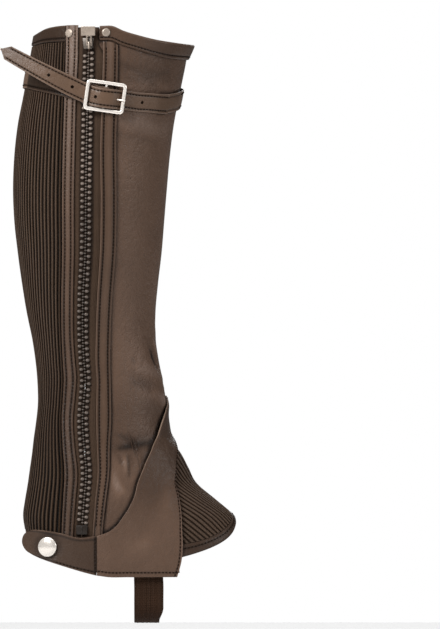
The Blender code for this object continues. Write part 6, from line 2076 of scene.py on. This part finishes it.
class HALFCHAP_OT_zip_rows(bpy.types.Operator):
    """Builds the zip's tapes, teeth and box."""

    bl_idname = "halfchap.zip_rows"
    bl_label = "Zip tapes and teeth"

    def execute(self, context):
        build_zip()
        return {"FINISHED"}


class HALFCHAP_OT_slider(bpy.types.Operator):
    """Builds the slider with its bail, and the pull that turns on it."""

    bl_idname = "halfchap.slider"
    bl_label = "Slider and pull"

    def execute(self, context):
        build_slider()
        return {"FINISHED"}


class HALFCHAP_OT_studs(bpy.types.Operator):
    """Builds the press stud's cap and the two rivets."""

    bl_idname = "halfchap.studs"
    bl_label = "Snap and rivets"

    def execute(self, context):
        build_studs()
        return {"FINISHED"}


class HALFCHAP_OT_stage(bpy.types.Operator):
    """Builds the floor, the lights and the camera."""

    bl_idname = "halfchap.stage"
    bl_label = "Stage"

    def execute(self, context):
        build_stage()
        return {"FINISHED"}


OPERATORS = (
    HALFCHAP_OT_front_panel,
    HALFCHAP_OT_back_elastic,
    HALFCHAP_OT_zip_facings,
    HALFCHAP_OT_top_bands,
    HALFCHAP_OT_overlay,
    HALFCHAP_OT_tab,
    HALFCHAP_OT_gusset,
    HALFCHAP_OT_understrap,
    HALFCHAP_OT_strap_band,
    HALFCHAP_OT_strap_tail,
    HALFCHAP_OT_buckle,
    HALFCHAP_OT_zip_rows,
    HALFCHAP_OT_slider,
    HALFCHAP_OT_studs,
    HALFCHAP_OT_stage,
)
PROPERTY_GROUPS = {
    "half_chap_colours": HalfChapColours,
    "half_chap_sewing": HalfChapSewing,
    "half_chap_sizes": HalfChapSizes,
    "half_chap_stage": HalfChapStage,
}


class HALFCHAP_PT_sidebar(bpy.types.Panel):
    """The half chap's settings and the buttons that build its pieces."""

    bl_idname = "HALFCHAP_PT_sidebar"
    bl_label = "Half chap"
    bl_space_type = "VIEW_3D"
    bl_region_type = "UI"
    bl_category = "Half chap"

    def draw(self, context):
        column = self.layout.column(align=True)
        for group, kind in PROPERTY_GROUPS.items():
            for name in kind.__annotations__:
                column.prop(getattr(context.scene, group), name)
        for operator in OPERATORS:
            column.operator(operator.bl_idname)


def register():
    for kind in (*PROPERTY_GROUPS.values(), *OPERATORS, HALFCHAP_PT_sidebar):
        bpy.utils.register_class(kind)
    for name, kind in PROPERTY_GROUPS.items():
        setattr(bpy.types.Scene, name, bpy.props.PointerProperty(type=kind))


def unregister():
    for name in PROPERTY_GROUPS:
        delattr(bpy.types.Scene, name)
    for kind in (HALFCHAP_PT_sidebar, *reversed(OPERATORS), *PROPERTY_GROUPS.values()):
        bpy.utils.unregister_class(kind)


def main():
    register()
    bpy.ops.halfchap.front_panel()
    bpy.ops.halfchap.back_elastic()
    bpy.ops.halfchap.zip_facings()
    bpy.ops.halfchap.top_bands()
    bpy.ops.halfchap.overlay()
    bpy.ops.halfchap.tab()
    bpy.ops.halfchap.gusset()
    bpy.ops.halfchap.understrap()
    bpy.ops.halfchap.strap_band()
    bpy.ops.halfchap.strap_tail()
    bpy.ops.halfchap.buckle()
    bpy.ops.halfchap.zip_rows()
    bpy.ops.halfchap.slider()
    bpy.ops.halfchap.studs()
    bpy.ops.halfchap.stage()


if __name__ == "__main__":
    main()
